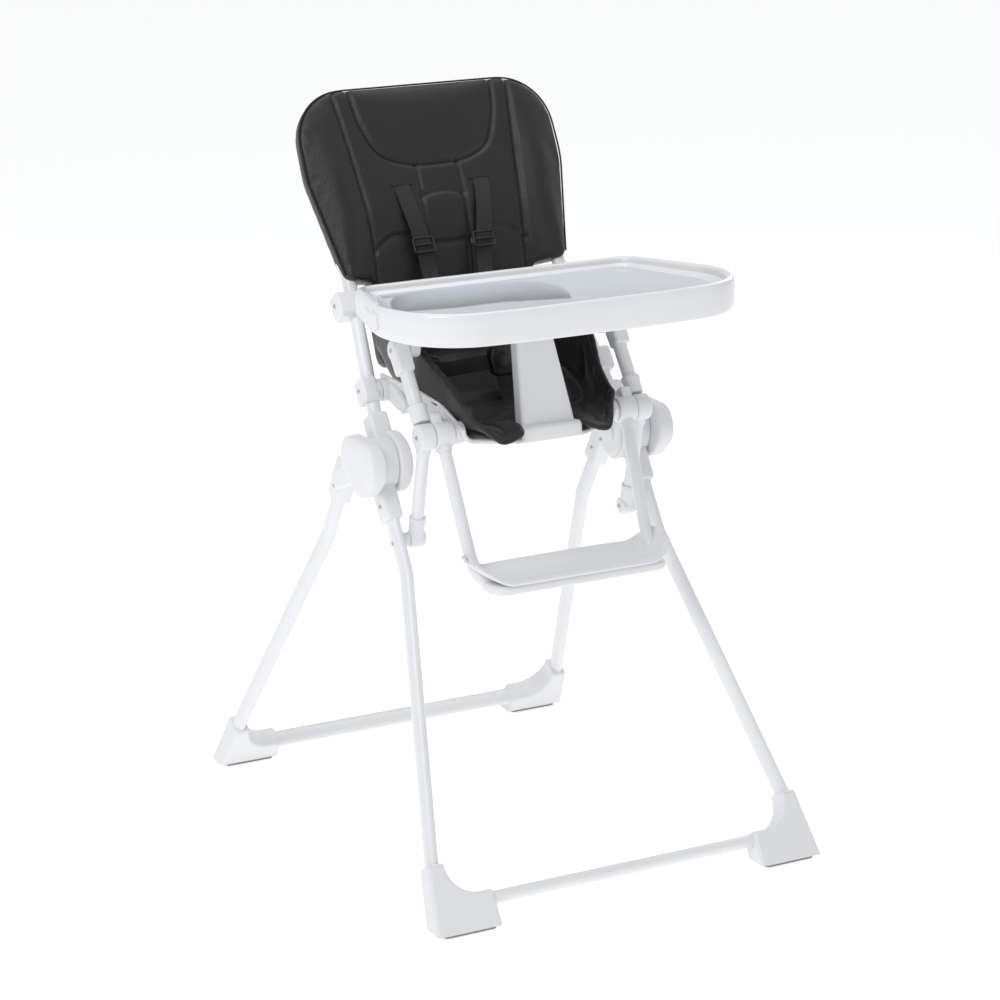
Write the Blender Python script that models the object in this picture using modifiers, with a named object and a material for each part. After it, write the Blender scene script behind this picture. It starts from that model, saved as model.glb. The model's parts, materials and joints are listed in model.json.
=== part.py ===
"""Folding baby high chair, in metres. +Z up, the chair faces -Y, +X is the child's left.

The origin is on the floor, in the middle of the four feet. Side view points are (y, z) pairs.
The back frame is the fixed body. Two leg frames swing about the hub axis, the seat hangs from
the back frame at its rear pivot, and a post with the footrest frame hangs from the seat.
"""

import math

import bmesh
import bpy
from mathutils import Matrix, Vector

# Overall sizes
WIDTH = 0.597
DEPTH = 0.825
HEIGHT = 1.046
HUB_HEIGHT = 0.5645
HUB_SETBACK = -0.0587

# Angles, in degrees
BACK_LEAN = 34.0
UPPER_BACK_LEAN = 24.6

# Tubes: leg tubes are flat ovals, the others are round
LEG_TUBE_WIDTH = 0.018
LEG_TUBE_DEPTH = 0.028
BACK_TUBE_RADIUS = 0.010
POST_RADIUS = 0.010
FOOTREST_TUBE_RADIUS = 0.009
LINK_RADIUS = 0.009
CORNER_RADIUS = 0.045

# Where the leg tubes run, from the middle of the chair
FRONT_TUBE_X = 0.1995
REAR_TUBE_X = 0.2085
LEG_BEND_HEIGHT = 0.425
LEG_BEND_RADIUS = 0.090
FRONT_LINE_OFFSET = 0.008
REAR_LINE_OFFSET = 0.078
FOOT_BAR_HEIGHT = 0.030
FOOT_WALL = 0.004
FOOT_LIFT = 0.088
FOOT_LENGTH = 0.096
FOOT_PAD_LENGTH = 0.076
FOOT_PAD_HEIGHT = 0.004
FOOT_EDGE = 0.0062

# Hub layers, from the inner button outwards
HUB_INNER_X = (0.163, 0.184)
HUB_MIDDLE_X = (0.1845, 0.2135)
HUB_COVER_X = (0.2140, 0.2410)
HUB_RADIUS = 0.0365
HUB_INNER_RADIUS = 0.043
HUB_BORE = 0.0065
HUB_AXLE = 0.0060
BUTTON_RADIUS = 0.016
SOCKET_WALL = 0.003

# Pivots along the back tube, measured from the hub axis, and the seat linkage
SEAT_PIVOT_ALONG = 0.108
ARM_PIVOT_ALONG = 0.2395
SEAT_LINK = 0.152
SEAT_DROP = 14.9
LINK_FOOT = (-0.1025, 0.462)
BACK_TUBE_HUB_X = 0.188
BACK_TUBE_WAIST_X = 0.1665
BACK_TUBE_TOP_X = 0.187
BACK_WAIST_HEIGHT = 0.795
BACK_SHOULDER_HEIGHT = 0.930
BACK_TOP_RADIUS = 0.062
BLOCK_OUTER_X = 0.199

# Footrest frame
POST_X = 0.167
LINK_X = 0.168
FOOTREST_TUBE_X = 0.143
FOOTREST_BEND_X = 0.137
KNUCKLE_RADIUS = 0.0185
KNUCKLE_OUTER_X = 0.180
KNUCKLE_INNER_X = 0.1285
FOOTREST_LOW = (-0.2135, 0.452)
FOOTREST_BAR = (-0.245, 0.4195)
PLATE_LENGTH = 0.300
PLATE_DEPTH = 0.094

# Seat
SHELL_WALL = 0.003
PAD_THICKNESS = 0.012
CROTCH_BASE = (-0.196, 0.624)
CROTCH_TOP = (-0.153, 0.749)
CROTCH_BASE_WIDTH = 0.084
CROTCH_TOP_WIDTH = 0.054
CROTCH_DEPTH = 0.026
BUCKLE = (-0.050, 0.690)

# Stations along the seat: y, outer half width, underside height, rim height
SEAT_STATIONS = [
    (0.018, 0.158, 0.636, 0.671),
    (-0.040, 0.150, 0.622, 0.665),
    (-0.085, 0.138, 0.612, 0.658),
    (-0.120, 0.1265, 0.606, 0.650),
    (-0.192, 0.120, 0.602, 0.622),
]
# Rim height, rim half width and sideways lean of the pad's rows, from rear to front
PAD_RIMS = [(0.728, 0.133, 0.55), (0.722, 0.131, 0.20), (0.680, 0.1215, 0.0), (0.630, 0.113, 0.0)]
PAD_SETBACK = 0.002

# Arms and tray
ARM_X = (0.140, 0.1565)
ARM_TOP = 0.7765
ARM_FRONT = -0.150
TRAY_REAR = -0.030
TRAY_FRONT = -0.345
TRAY_HALF_WIDTH = 0.262
TRAY_REAR_HALF_WIDTH = 0.213
TRAY_RIM_HEIGHT = 0.818
TRAY_FLOOR_HEIGHT = 0.794
TRAY_SKIRT_HEIGHT = 0.773
TRAY_WALL = 0.004
HINGE_PLACE = (0.1482, -0.092)

# Sizes that belong to one joint each
SPIGOT = 0.0060
ARM_SPIGOT = 0.0050
KNUCKLE_PIN = 0.0045
LINK_PIN = 0.0045
LINK_FLOAT = 0.0030
HINGE_PIN = 0.0045
SEAT_BLOCK_X = 0.1685
SEAT_BOSS_X = 0.1222
ARM_BLOCK_X = 0.1572
BUTTON_FACE_X = 0.1595
BUTTON_FLOOR_X = 0.1762
LINK_EYE_X = (0.1565, 0.1800)
FOOTREST_BAR_X = 0.134
BACK_PAD_THICKNESS = 0.028
PAD_FOOT_HALF_WIDTH = 0.134
PAD_FOOT = -0.125
TRAY_RIM_WIDTH = 0.014
TRAY_REAR_RISE = 0.0072
SLIDER_Y = (-0.142, -0.048)
LATCH_Y = (-0.215, -0.150)
LATCH_Z = (0.786, 0.806)
LATCH_FINGER_ROOM = 0.005

# Gaps
GAP = 0.0003
RUNNING_GAP = 0.0005

HUB = (HUB_SETBACK, HUB_HEIGHT)
SIDES = {"left": 1, "right": -1}


# ---------------------------------------------------------------- helpers


def clear_scene():
    for obj in list(bpy.data.objects):
        bpy.data.objects.remove(obj, do_unlink=True)


def new_collection(name):
    collection = bpy.data.collections.new(name)
    bpy.context.scene.collection.children.link(collection)
    return collection


def make_material(name, color, roughness, metallic=0.0):
    material = bpy.data.materials.new(name)
    material.use_nodes = True
    shader = material.node_tree.nodes["Principled BSDF"]
    shader.inputs["Base Color"].default_value = (*color, 1)
    shader.inputs["Roughness"].default_value = roughness
    shader.inputs["Metallic"].default_value = metallic
    material.diffuse_color = (*color, 1)
    return material


clear_scene()
PARTS = new_collection("baby_high_chair")
CUTTERS = new_collection("cutters")
CUTTERS.hide_render = True

TUBE_WHITE = make_material("tube_white", (0.86, 0.87, 0.89), 0.35)
PLASTIC_WHITE = make_material("plastic_white", (0.84, 0.85, 0.87), 0.4)
INSERT_BLUE = make_material("insert_blue", (0.72, 0.78, 0.85), 0.25)
VINYL_BLACK = make_material("vinyl_black", (0.03, 0.03, 0.032), 0.5)
WEBBING_BLACK = make_material("webbing_black", (0.02, 0.02, 0.02), 0.8)
BUCKLE_BLACK = make_material("buckle_black", (0.02, 0.02, 0.022), 0.4)
RUBBER_GREY = make_material("rubber_grey", (0.35, 0.33, 0.33), 0.8)
STEEL = make_material("steel", (0.6, 0.6, 0.62), 0.3, 1.0)


def sin(degrees):
    return math.sin(math.radians(degrees))


def cos(degrees):
    return math.cos(math.radians(degrees))


def add(point, along, distance):
    return tuple(a + b * distance for a, b in zip(point, along))


def mix(a, b, share):
    return tuple(p + (q - p) * share for p, q in zip(a, b))


def unit(a, b):
    length = math.dist(a, b)
    return tuple((q - p) / length for p, q in zip(a, b))


def finish(obj, material, collection=PARTS):
    obj.data.materials.clear()
    obj.data.materials.append(material)
    collection.objects.link(obj)
    return obj


def as_mesh(obj, weld=1e-6):
    """The object's evaluated shape as a new mesh object, with its caps welded, in its place."""
    PARTS.objects.link(obj)
    bpy.context.view_layer.update()
    graph = bpy.context.evaluated_depsgraph_get()
    mesh = bpy.data.meshes.new_from_object(obj.evaluated_get(graph))
    place = obj.matrix_world.copy()
    name = obj.name
    bpy.data.objects.remove(obj, do_unlink=True)
    bm = bmesh.new()
    bm.from_mesh(mesh)
    bmesh.ops.remove_doubles(bm, verts=bm.verts, dist=weld)
    bm.transform(place)
    bmesh.ops.recalc_face_normals(bm, faces=bm.faces)
    bm.to_mesh(mesh)
    bm.free()
    made = bpy.data.objects.new(name, mesh)
    made.name = name
    return made


def settle(obj):
    """Applies the object's modifiers, so that its origin can be set and copies can be made."""
    bpy.context.view_layer.update()
    graph = bpy.context.evaluated_depsgraph_get()
    obj.data = bpy.data.meshes.new_from_object(obj.evaluated_get(graph))
    obj.modifiers.clear()
    return obj


def smooth(obj, angle=35):
    obj.data.shade_smooth()
    obj.data.set_sharp_from_angle(angle=math.radians(angle))
    return obj


def set_origin(obj, place):
    """Moves the object's origin to a point, leaving its shape where it is."""
    obj.data.transform(Matrix.Translation(-Vector(place)))
    obj.location = place
    return obj


def rounded_path(points, radii, steps=4):
    """A polyline's points with each inner corner replaced by an arc of its radius."""
    path = [Vector(points[0])]
    for before, corner, after, radius in zip(points, points[1:], points[2:], radii):
        corner = Vector(corner)
        back = (Vector(before) - corner).normalized()
        ahead = (Vector(after) - corner).normalized()
        angle = back.angle(ahead)
        if radius == 0 or angle > math.pi - 1e-3:
            path.append(corner)
            continue
        reach = radius / math.tan(angle / 2)
        centre = corner + (back + ahead).normalized() * radius / math.sin(angle / 2)
        start = corner + back * reach - centre
        turn_axis = start.cross(ahead * reach + corner - centre)
        for step in range(steps + 1):
            turn = Matrix.Rotation((math.pi - angle) * step / steps, 3, turn_axis)
            path.append(centre + turn @ start)
    path.append(Vector(points[-1]))
    return path


def rounded_loop(corners, steps=5):
    """A closed outline with every corner rounded. Each corner is (u, v, radius)."""
    points = []
    for before, corner, after in zip([corners[-1]] + corners[:-1], corners, corners[1:] + corners[:1]):
        ends = [mix(corner[:2], before[:2], 0.5), corner[:2], mix(corner[:2], after[:2], 0.5)]
        arc = rounded_path([(*end, 0) for end in ends], [corner[2]], steps)[1:-1]
        points += [(point.x, point.y) for point in arc]
    return points


def tube(name, path, radius, sides=10, flatten=None, collection=PARTS):
    """A round bar along a path. flatten is (normal, share): the section is scaled along normal."""
    curve = bpy.data.curves.new(name, "CURVE")
    curve.dimensions = "3D"
    curve.bevel_depth = radius
    curve.bevel_resolution = sides // 2 - 2
    curve.use_fill_caps = True
    spline = curve.splines.new("POLY")
    spline.points.add(len(path) - 1)
    for slot, point in zip(spline.points, path):
        slot.co = (*point, 1)
    obj = as_mesh(bpy.data.objects.new(name, curve))
    if flatten:
        normal, share = Vector(flatten[0]).normalized(), flatten[1]
        stretch = Matrix.Scale(share, 4, normal)
        middle = Matrix.Translation(path[0])
        obj.data.transform(middle @ stretch @ middle.inverted())
    return smooth(obj)


def side_shape(name, outline, low_x, high_x, bevel=0.0, segments=1):
    """A side-view outline of (y, z) points, made solid from low_x to high_x."""
    curve = bpy.data.curves.new(name, "CURVE")
    curve.dimensions = "2D"
    curve.fill_mode = "BOTH"
    curve.extrude = abs(high_x - low_x) / 2
    spline = curve.splines.new("POLY")
    spline.points.add(len(outline) - 1)
    for slot, (y, z) in zip(spline.points, outline):
        slot.co = (y, z, 0, 1)
    spline.use_cyclic_u = True
    obj = bpy.data.objects.new(name, curve)
    turn = Matrix(((0, 0, 1, 0), (1, 0, 0, 0), (0, 1, 0, 0), (0, 0, 0, 1)))
    obj.matrix_world = Matrix.Translation(((low_x + high_x) / 2, 0, 0)) @ turn
    return add_bevel(as_mesh(obj), bevel, segments)


def top_shape(name, outline, low_z, high_z, bevel=0.0, segments=1):
    """A top-view outline of (x, y) points, made solid from low_z to high_z."""
    curve = bpy.data.curves.new(name, "CURVE")
    curve.dimensions = "2D"
    curve.fill_mode = "BOTH"
    curve.extrude = (high_z - low_z) / 2
    spline = curve.splines.new("POLY")
    spline.points.add(len(outline) - 1)
    for slot, (x, y) in zip(spline.points, outline):
        slot.co = (x, y, 0, 1)
    spline.use_cyclic_u = True
    obj = bpy.data.objects.new(name, curve)
    obj.location.z = (low_z + high_z) / 2
    return add_bevel(as_mesh(obj), bevel, segments)


def add_bevel(obj, width, segments=1):
    if width:
        bevel = obj.modifiers.new("Bevel", "BEVEL")
        bevel.width = width
        bevel.segments = segments
        bevel.limit_method = "ANGLE"
        bevel.angle_limit = math.radians(40)
        settle_loose(obj)
    return smooth(obj)


def settle_loose(obj):
    """Applies the modifiers of an object that isn't in a collection yet."""
    PARTS.objects.link(obj)
    settle(obj)
    PARTS.objects.unlink(obj)


def x_cylinder(name, centre, radius, low_x, high_x, sides=20, bevel=0.0):
    """A round bar along X, centred on a side-view point."""
    mesh = bpy.data.meshes.new(name)
    bm = bmesh.new()
    place = Matrix.Translation(((low_x + high_x) / 2, *centre)) @ Matrix.Rotation(math.pi / 2, 4, "Y")
    bmesh.ops.create_cone(
        bm, cap_ends=True, segments=sides, radius1=radius, radius2=radius, depth=abs(high_x - low_x), matrix=place
    )
    bm.to_mesh(mesh)
    bm.free()
    return add_bevel(bpy.data.objects.new(name, mesh), bevel)


def box(name, low, high, bevel=0.0, turn=None):
    """A box between two corners, turned about its centre."""
    mesh = bpy.data.meshes.new(name)
    bm = bmesh.new()
    size = [h - l for l, h in zip(low, high)]
    bmesh.ops.create_cube(bm, size=1, matrix=Matrix.Diagonal((*size, 1)))
    bm.to_mesh(mesh)
    bm.free()
    obj = add_bevel(bpy.data.objects.new(name, mesh), bevel)
    centre = Matrix.Translation([(l + h) / 2 for l, h in zip(low, high)])
    obj.data.transform(centre @ turn if turn else centre)
    return obj


def combine(base, others, operation):
    """A Boolean of base with each of the others, applied. The others are used up."""
    PARTS.objects.link(base)
    for other in others:
        CUTTERS.objects.link(other)
        other.hide_render = True
        other.display_type = "WIRE"
        boolean = base.modifiers.new(operation.title(), "BOOLEAN")
        boolean.operation = operation
        boolean.object = other
    settle(base)
    PARTS.objects.unlink(base)
    for other in others:
        bpy.data.objects.remove(other, do_unlink=True)
    return smooth(base)


def join(base, *others):
    return combine(base, others, "UNION")


def cut(base, *others):
    return combine(base, others, "DIFFERENCE")


def circle(centre, radius, start, end, steps=8):
    """Points on an arc, with angles in degrees from +Y towards +Z."""
    angles = [start + (end - start) * step / steps for step in range(steps + 1)]
    return [(centre[0] + radius * cos(a), centre[1] + radius * sin(a)) for a in angles]


def lean(degrees):
    """The side-view direction that leans back from straight up by an angle."""
    return (sin(degrees), cos(degrees))


def bar_outline(a, b, half_width_a, half_width_b):
    """A straight bar's side-view outline, from a to b."""
    along = unit(a, b)
    across = (-along[1], along[0])
    return [
        add(a, across, -half_width_a),
        add(b, across, -half_width_b),
        add(b, across, half_width_b),
        add(a, across, half_width_a),
    ]


def side_box(name, a, b, half_width, low_x, high_x, bevel=0.0):
    """A straight bar with a rectangular section, between two side-view points."""
    return side_shape(name, bar_outline(a, b, half_width, half_width), low_x, high_x, bevel)


# ---------------------------------------------------------------- the side view

BACK_DIRECTION = lean(BACK_LEAN)
SEAT_PIVOT = add(HUB, BACK_DIRECTION, SEAT_PIVOT_ALONG)
ARM_PIVOT = add(HUB, BACK_DIRECTION, ARM_PIVOT_ALONG)
KNUCKLE = add(SEAT_PIVOT, (-cos(SEAT_DROP), -sin(SEAT_DROP)), SEAT_LINK)
POST_TOP = tuple(k + a - p for k, a, p in zip(KNUCKLE, ARM_PIVOT, SEAT_PIVOT))

FOOT_HALF_DEPTH = LEG_TUBE_DEPTH / 2 + FOOT_WALL
LEG_FOOT_X = WIDTH / 2 - LEG_TUBE_WIDTH / 2 - FOOT_WALL - GAP


class Leg:
    """The side line of a leg frame, from the ground up to the hub's height."""

    def __init__(self, facing, line_offset, tube_x):
        self.facing = facing
        self.tube_x = tube_x
        self.top = (HUB_SETBACK + line_offset, HUB_HEIGHT)
        reach = DEPTH / 2 - FOOT_HALF_DEPTH / cos(33) + FOOT_EDGE
        self.ground = (facing * reach, 0.0)
        self.along = unit(self.ground, self.top)
        self.bar = self.at_height(FOOT_BAR_HEIGHT)
        self.normal = (0, self.along[1], -self.along[0])

    def at_height(self, z):
        return mix(self.ground, self.top, z / HUB_HEIGHT)

    def path(self, end_gap):
        """The U's centre line, starting end_gap below the hub's height on each side."""
        upper = add(self.top, self.along, -end_gap)
        bend = self.at_height(LEG_BEND_HEIGHT)
        half = [(self.tube_x, *upper), (self.tube_x, *bend), (LEG_FOOT_X, *self.bar)]
        corners = half + [(-x, y, z) for x, y, z in reversed(half)]
        return rounded_path(corners, [LEG_BEND_RADIUS, CORNER_RADIUS, CORNER_RADIUS, LEG_BEND_RADIUS])

    def frame(self, name, grow=0.0, end_gap=0.045):
        """The oval tube, or with grow a fatter copy that cuts room for it."""
        radius = LEG_TUBE_WIDTH / 2 + grow
        share = (LEG_TUBE_DEPTH / 2 + grow) / radius
        return tube(name, self.path(end_gap - grow), radius, 12, (self.normal, share))


FRONT_LEG = Leg(-1, FRONT_LINE_OFFSET, FRONT_TUBE_X)
REAR_LEG = Leg(1, REAR_LINE_OFFSET, REAR_TUBE_X)


def back_path(start_along):
    """The back tube's centre line: leaning legs that close in to the waist, then a wider, steeper U."""
    waist = add(HUB, BACK_DIRECTION, (BACK_WAIST_HEIGHT - HUB_HEIGHT) / cos(BACK_LEAN))
    start = add(HUB, BACK_DIRECTION, start_along)
    upper = lean(UPPER_BACK_LEAN)
    shoulder = add(waist, upper, (BACK_SHOULDER_HEIGHT - BACK_WAIST_HEIGHT) / cos(UPPER_BACK_LEAN))
    top = add(waist, upper, (HEIGHT - BACK_TUBE_RADIUS - BACK_WAIST_HEIGHT) / cos(UPPER_BACK_LEAN))
    half = [
        (BACK_TUBE_HUB_X, *start),
        (BACK_TUBE_WAIST_X, *waist),
        (BACK_TUBE_TOP_X, *shoulder),
        (BACK_TUBE_TOP_X, *top),
    ]
    corners = half + [(-x, y, z) for x, y, z in reversed(half)]
    return rounded_path(corners, [0.12, 0.12, BACK_TOP_RADIUS, BACK_TOP_RADIUS, 0.12, 0.12])


def back_tube(name, grow=0.0):
    return tube(name, back_path(HUB_RADIUS + 0.004 - grow), BACK_TUBE_RADIUS + grow)


# ---------------------------------------------------------------- leg frames


def foot_cap(name, side, leg):
    """An L-shaped corner cap round the leg frame's bottom corner, cut flat above its rubber pad."""
    outer = WIDTH / 2
    base = -FOOT_BAR_HEIGHT / leg.along[1]
    slope = (LEG_FOOT_X - leg.tube_x) / (LEG_BEND_HEIGHT - FOOT_BAR_HEIGHT)
    shaft = LEG_TUBE_WIDTH + 2 * FOOT_WALL
    top = FOOT_LIFT + base
    under = LEG_TUBE_WIDTH / 2 + FOOT_WALL - FOOT_BAR_HEIGHT / leg.along[1] + FOOT_BAR_HEIGHT
    fillet = CORNER_RADIUS + 0.006
    centre = (outer - shaft - fillet, under + fillet - 0.002)
    outline = [(outer - 0.004, base), (outer, base + 0.012), (outer - slope * (top - base) + 0.002, top)]
    outline += [(outer - slope * (top - base) + 0.002 - shaft, top)]
    outline += circle(centre, fillet, -10, -80, 6)
    outline += [(outer - FOOT_LENGTH, under - 0.001), (outer - FOOT_LENGTH, base)]
    curve = bpy.data.curves.new(name, "CURVE")
    curve.dimensions = "2D"
    curve.fill_mode = "BOTH"
    curve.extrude = FOOT_HALF_DEPTH
    spline = curve.splines.new("POLY")
    spline.points.add(len(outline) - 1)
    for slot, (x, up) in zip(spline.points, outline):
        slot.co = (side * x, up, 0, 1)
    spline.use_cyclic_u = True
    obj = bpy.data.objects.new(name, curve)
    along = leg.along
    obj.matrix_world = Matrix(
        ((1, 0, 0, 0), (0, along[0], -along[1], leg.bar[0]), (0, along[1], along[0], leg.bar[1]), (0, 0, 0, 1))
    )
    cap = add_bevel(as_mesh(obj), 0.003)
    floor = box(name + "_floor", (-1, -1, -0.2), (1, 1, FOOT_PAD_HEIGHT + GAP))
    return finish(cut(cap, floor, leg.frame(name + "_room", RUNNING_GAP)), PLASTIC_WHITE)


def foot_pad(name, side, leg):
    """A rubber sole under the cap. It lies wholly inside the cap's flat underside."""
    outer = side * (WIDTH / 2 - 0.012)
    inner = side * (WIDTH / 2 - 0.012 - FOOT_PAD_LENGTH)
    half = FOOT_HALF_DEPTH / leg.along[1] - 0.0035
    middle = leg.at_height(FOOT_PAD_HEIGHT)[0]
    low = (min(outer, inner), middle - half, 0.0)
    high = (max(outer, inner), middle + half, FOOT_PAD_HEIGHT)
    return finish(box(name, low, high, 0.0012), RUBBER_GREY)


def front_hub(name, side):
    """The middle hub layer: a disc on the axle with a socket that the front leg plugs into."""
    disc = x_cylinder(name, HUB, HUB_RADIUS, side * HUB_MIDDLE_X[0], side * HUB_MIDDLE_X[1], 24, 0.0015)
    half = LEG_TUBE_DEPTH / 2 + SOCKET_WALL
    half_x = LEG_TUBE_WIDTH / 2 + SOCKET_WALL
    start = add(FRONT_LEG.top, FRONT_LEG.along, -0.006)
    end = add(FRONT_LEG.top, FRONT_LEG.along, -0.088)
    low_x, high_x = side * (FRONT_TUBE_X - half_x), side * (FRONT_TUBE_X + half_x)
    socket = side_box(name + "_socket", start, end, half, low_x, high_x, 0.004)
    bore = x_cylinder(name + "_bore", HUB, HUB_BORE, side * 0.17, side * 0.23)
    return finish(cut(join(disc, socket), bore, FRONT_LEG.frame(name + "_room", RUNNING_GAP, 0.030)), PLASTIC_WHITE)


def cover_outline():
    """A rounded triangle round the hub axis: flat on top, narrowing down towards the rear leg."""
    corners = [(-0.052, 0.0385, 0.030), (0.040, 0.0415, 0.030), (0.052, -0.006, 0.020), (-0.018, -0.052, 0.034)]
    corners += [(-0.068, -0.004, 0.030)]
    return rounded_loop([(HUB[0] + y, HUB[1] + z, radius) for y, z, radius in corners], 4)


def hub_cover(name, side):
    """The outer hub layer: a domed cap with a blind bore and a socket for the rear leg."""
    cap = side_shape(name, cover_outline(), side * HUB_COVER_X[0], side * HUB_COVER_X[1], 0.006, 2)
    half = LEG_TUBE_DEPTH / 2 + SOCKET_WALL
    half_x = LEG_TUBE_WIDTH / 2 + SOCKET_WALL
    start = add(REAR_LEG.top, REAR_LEG.along, -0.018)
    end = add(REAR_LEG.top, REAR_LEG.along, -0.092)
    low_x, high_x = side * (REAR_TUBE_X - half_x), side * (REAR_TUBE_X + half_x)
    socket = side_box(name + "_socket", start, end, half, low_x, high_x, 0.004)
    bridge_start = add(HUB, unit(HUB, start), 0.020)
    bridge = side_box(
        name + "_bridge", bridge_start, mix(start, end, 0.45), 0.016, side * HUB_COVER_X[0], side * (HUB_COVER_X[0] + 0.010)
    )
    swing_room = x_cylinder(name + "_swing", HUB, HUB_RADIUS + 0.001, side * 0.17, side * HUB_COVER_X[0], 32)
    bore = x_cylinder(name + "_bore", HUB, HUB_BORE, side * 0.17, side * (HUB_COVER_X[1] - 0.004))
    body = join(cap, socket, bridge)
    return finish(cut(body, bore, swing_room, REAR_LEG.frame(name + "_room", RUNNING_GAP)), PLASTIC_WHITE)


def link_boss(name, side):
    """A spool on the front leg's inner face, with the pin that the link's elbow hangs on."""
    leg_face = FRONT_TUBE_X - LEG_TUBE_WIDTH / 2 - GAP
    spool = x_cylinder(name, LINK_FOOT, 0.0095, side * (LINK_X + 0.0115), side * leg_face, 20, 0.001)
    pin = x_cylinder(name + "_pin", LINK_FOOT, LINK_PIN, side * (LINK_X - 0.006), side * (LINK_X + 0.014), 16)
    return finish(join(spool, pin), PLASTIC_WHITE)


# ---------------------------------------------------------------- back frame


def inner_hub(name, side):
    """The fixed hub layer: a disc with the button's recess and the sleeve that holds the back tube."""
    disc = x_cylinder(name, HUB, HUB_INNER_RADIUS, side * HUB_INNER_X[0], side * HUB_INNER_X[1], 24, 0.0025)
    tab = side_box(name + "_tab", HUB, add(HUB, BACK_DIRECTION, 0.070), 0.016, side * 0.170, side * HUB_INNER_X[1])
    low_x, high_x = BACK_TUBE_HUB_X - 0.0165, BACK_TUBE_HUB_X + 0.0135
    start, end = add(HUB, BACK_DIRECTION, HUB_RADIUS + 0.001), add(HUB, BACK_DIRECTION, 0.072)
    sleeve = side_box(name + "_sleeve", start, end, 0.0155, side * low_x, side * high_x, 0.003)
    recess = x_cylinder(name + "_recess", HUB, BUTTON_RADIUS + RUNNING_GAP, side * 0.15, side * BUTTON_FLOOR_X)
    bore = x_cylinder(name + "_bore", HUB, HUB_BORE, side * 0.15, side * 0.2)
    room = back_tube(name + "_room", GAP)
    return finish(cut(join(disc, tab, sleeve), recess, bore, room), PLASTIC_WHITE)


def hub_button(name, side):
    button = x_cylinder(name, HUB, BUTTON_RADIUS, side * BUTTON_FACE_X, side * (BUTTON_FACE_X + 0.011), 20, 0.0018)
    return finish(set_origin(button, (side * BUTTON_FACE_X, *HUB)), PLASTIC_WHITE)


def hub_axle(name, side):
    axle = x_cylinder(name, HUB, HUB_AXLE, side * (BUTTON_FLOOR_X + 0.0005), side * (HUB_COVER_X[1] - 0.0045), 20, 0.0006)
    return finish(axle, STEEL)


def pivot_block(name, side, along, inner_x, spigot_x):
    """A block clamped round the back tube, with a spigot that points inwards."""
    centre = add(HUB, BACK_DIRECTION, along)
    low, high = add(centre, BACK_DIRECTION, -0.0185), add(centre, BACK_DIRECTION, 0.0185)
    block = side_box(name, low, high, 0.0165, side * inner_x, side * BLOCK_OUTER_X, 0.004)
    spigot = x_cylinder(name + "_spigot", centre, SPIGOT, side * spigot_x, side * (inner_x + 0.002), 16)
    return finish(join(cut(block, back_tube(name + "_room", GAP)), spigot), PLASTIC_WHITE)


# ---------------------------------------------------------------- seat

def loft(name, rows):
    """An open surface through rows of points that all hold the same number."""
    mesh = bpy.data.meshes.new(name)
    bm = bmesh.new()
    grid = [[bm.verts.new(point) for point in row] for row in rows]
    for row, ahead in zip(grid, grid[1:]):
        for a, b, c, d in zip(row, row[1:], ahead[1:], ahead):
            bm.faces.new((a, b, c, d))
    bm.to_mesh(mesh)
    bm.free()
    return bpy.data.objects.new(name, mesh)


def trough_row(y, half_width, floor, rim, radius, rim_half_width, rim_shift):
    """A U-shaped section across the seat, with rounded lower corners and leaning sides."""
    corner = (half_width - radius, floor + radius)
    right = [(half_width - radius, floor)]
    right += circle(corner, radius, -90, 0, 4)[1:]
    right += [(rim_half_width, rim)]
    right = [(x, y + rim_shift * (z - floor), z) for x, z in right]
    left = [(-x, py, z) for x, py, z in reversed(right)]
    return left + [(0, y, floor)] + right


def thicken(obj, thickness):
    """Gives an open surface a wall on its inner, upper side."""
    solidify = obj.modifiers.new("Solidify", "SOLIDIFY")
    solidify.thickness = thickness
    solidify.offset = -1
    settle_loose(obj)
    bm = bmesh.new()
    bm.from_mesh(obj.data)
    bmesh.ops.recalc_face_normals(bm, faces=bm.faces)
    bm.to_mesh(obj.data)
    bm.free()
    return smooth(obj)


def seat_shell(name):
    rows = [trough_row(y, w, floor, rim, 0.016, w, 0) for y, w, floor, rim in SEAT_STATIONS]
    shell = thicken(loft(name, rows), SHELL_WALL)
    extras = []
    bores = []
    for side in SIDES.values():
        extras.append(x_cylinder("barrel", SEAT_PIVOT, 0.0165, side * 0.151, side * (SEAT_BLOCK_X - RUNNING_GAP), 24))
        extras.append(x_cylinder("boss", KNUCKLE, 0.0145, side * SEAT_BOSS_X, side * (KNUCKLE_INNER_X - RUNNING_GAP), 24))
        extras.append(x_cylinder("pin", KNUCKLE, KNUCKLE_PIN, side * (SEAT_BOSS_X + 0.002), side * (KNUCKLE_OUTER_X - 0.003), 20))
        bores.append(x_cylinder("bore", SEAT_PIVOT, SPIGOT + RUNNING_GAP, side * 0.14, side * 0.18, 16))
    front = SEAT_STATIONS[-1]
    rail = box("rail", (-0.100, front[0] - 0.012, front[2]), (0.100, front[0] + 0.0007, front[3]), 0.003)
    return finish(cut(join(shell, rail, *extras), *bores), PLASTIC_WHITE)


def seat_pad(name):
    rows = []
    gap = SHELL_WALL + 0.0013
    for (y, w, floor, _), (rim, rim_x, shift) in zip(SEAT_STATIONS[1:], PAD_RIMS):
        rows.append(trough_row(y + PAD_SETBACK, w - gap, floor + gap, rim, 0.014, rim_x, shift))
    return finish(thicken(loft(name, rows), PAD_THICKNESS), VINYL_BLACK)


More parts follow.
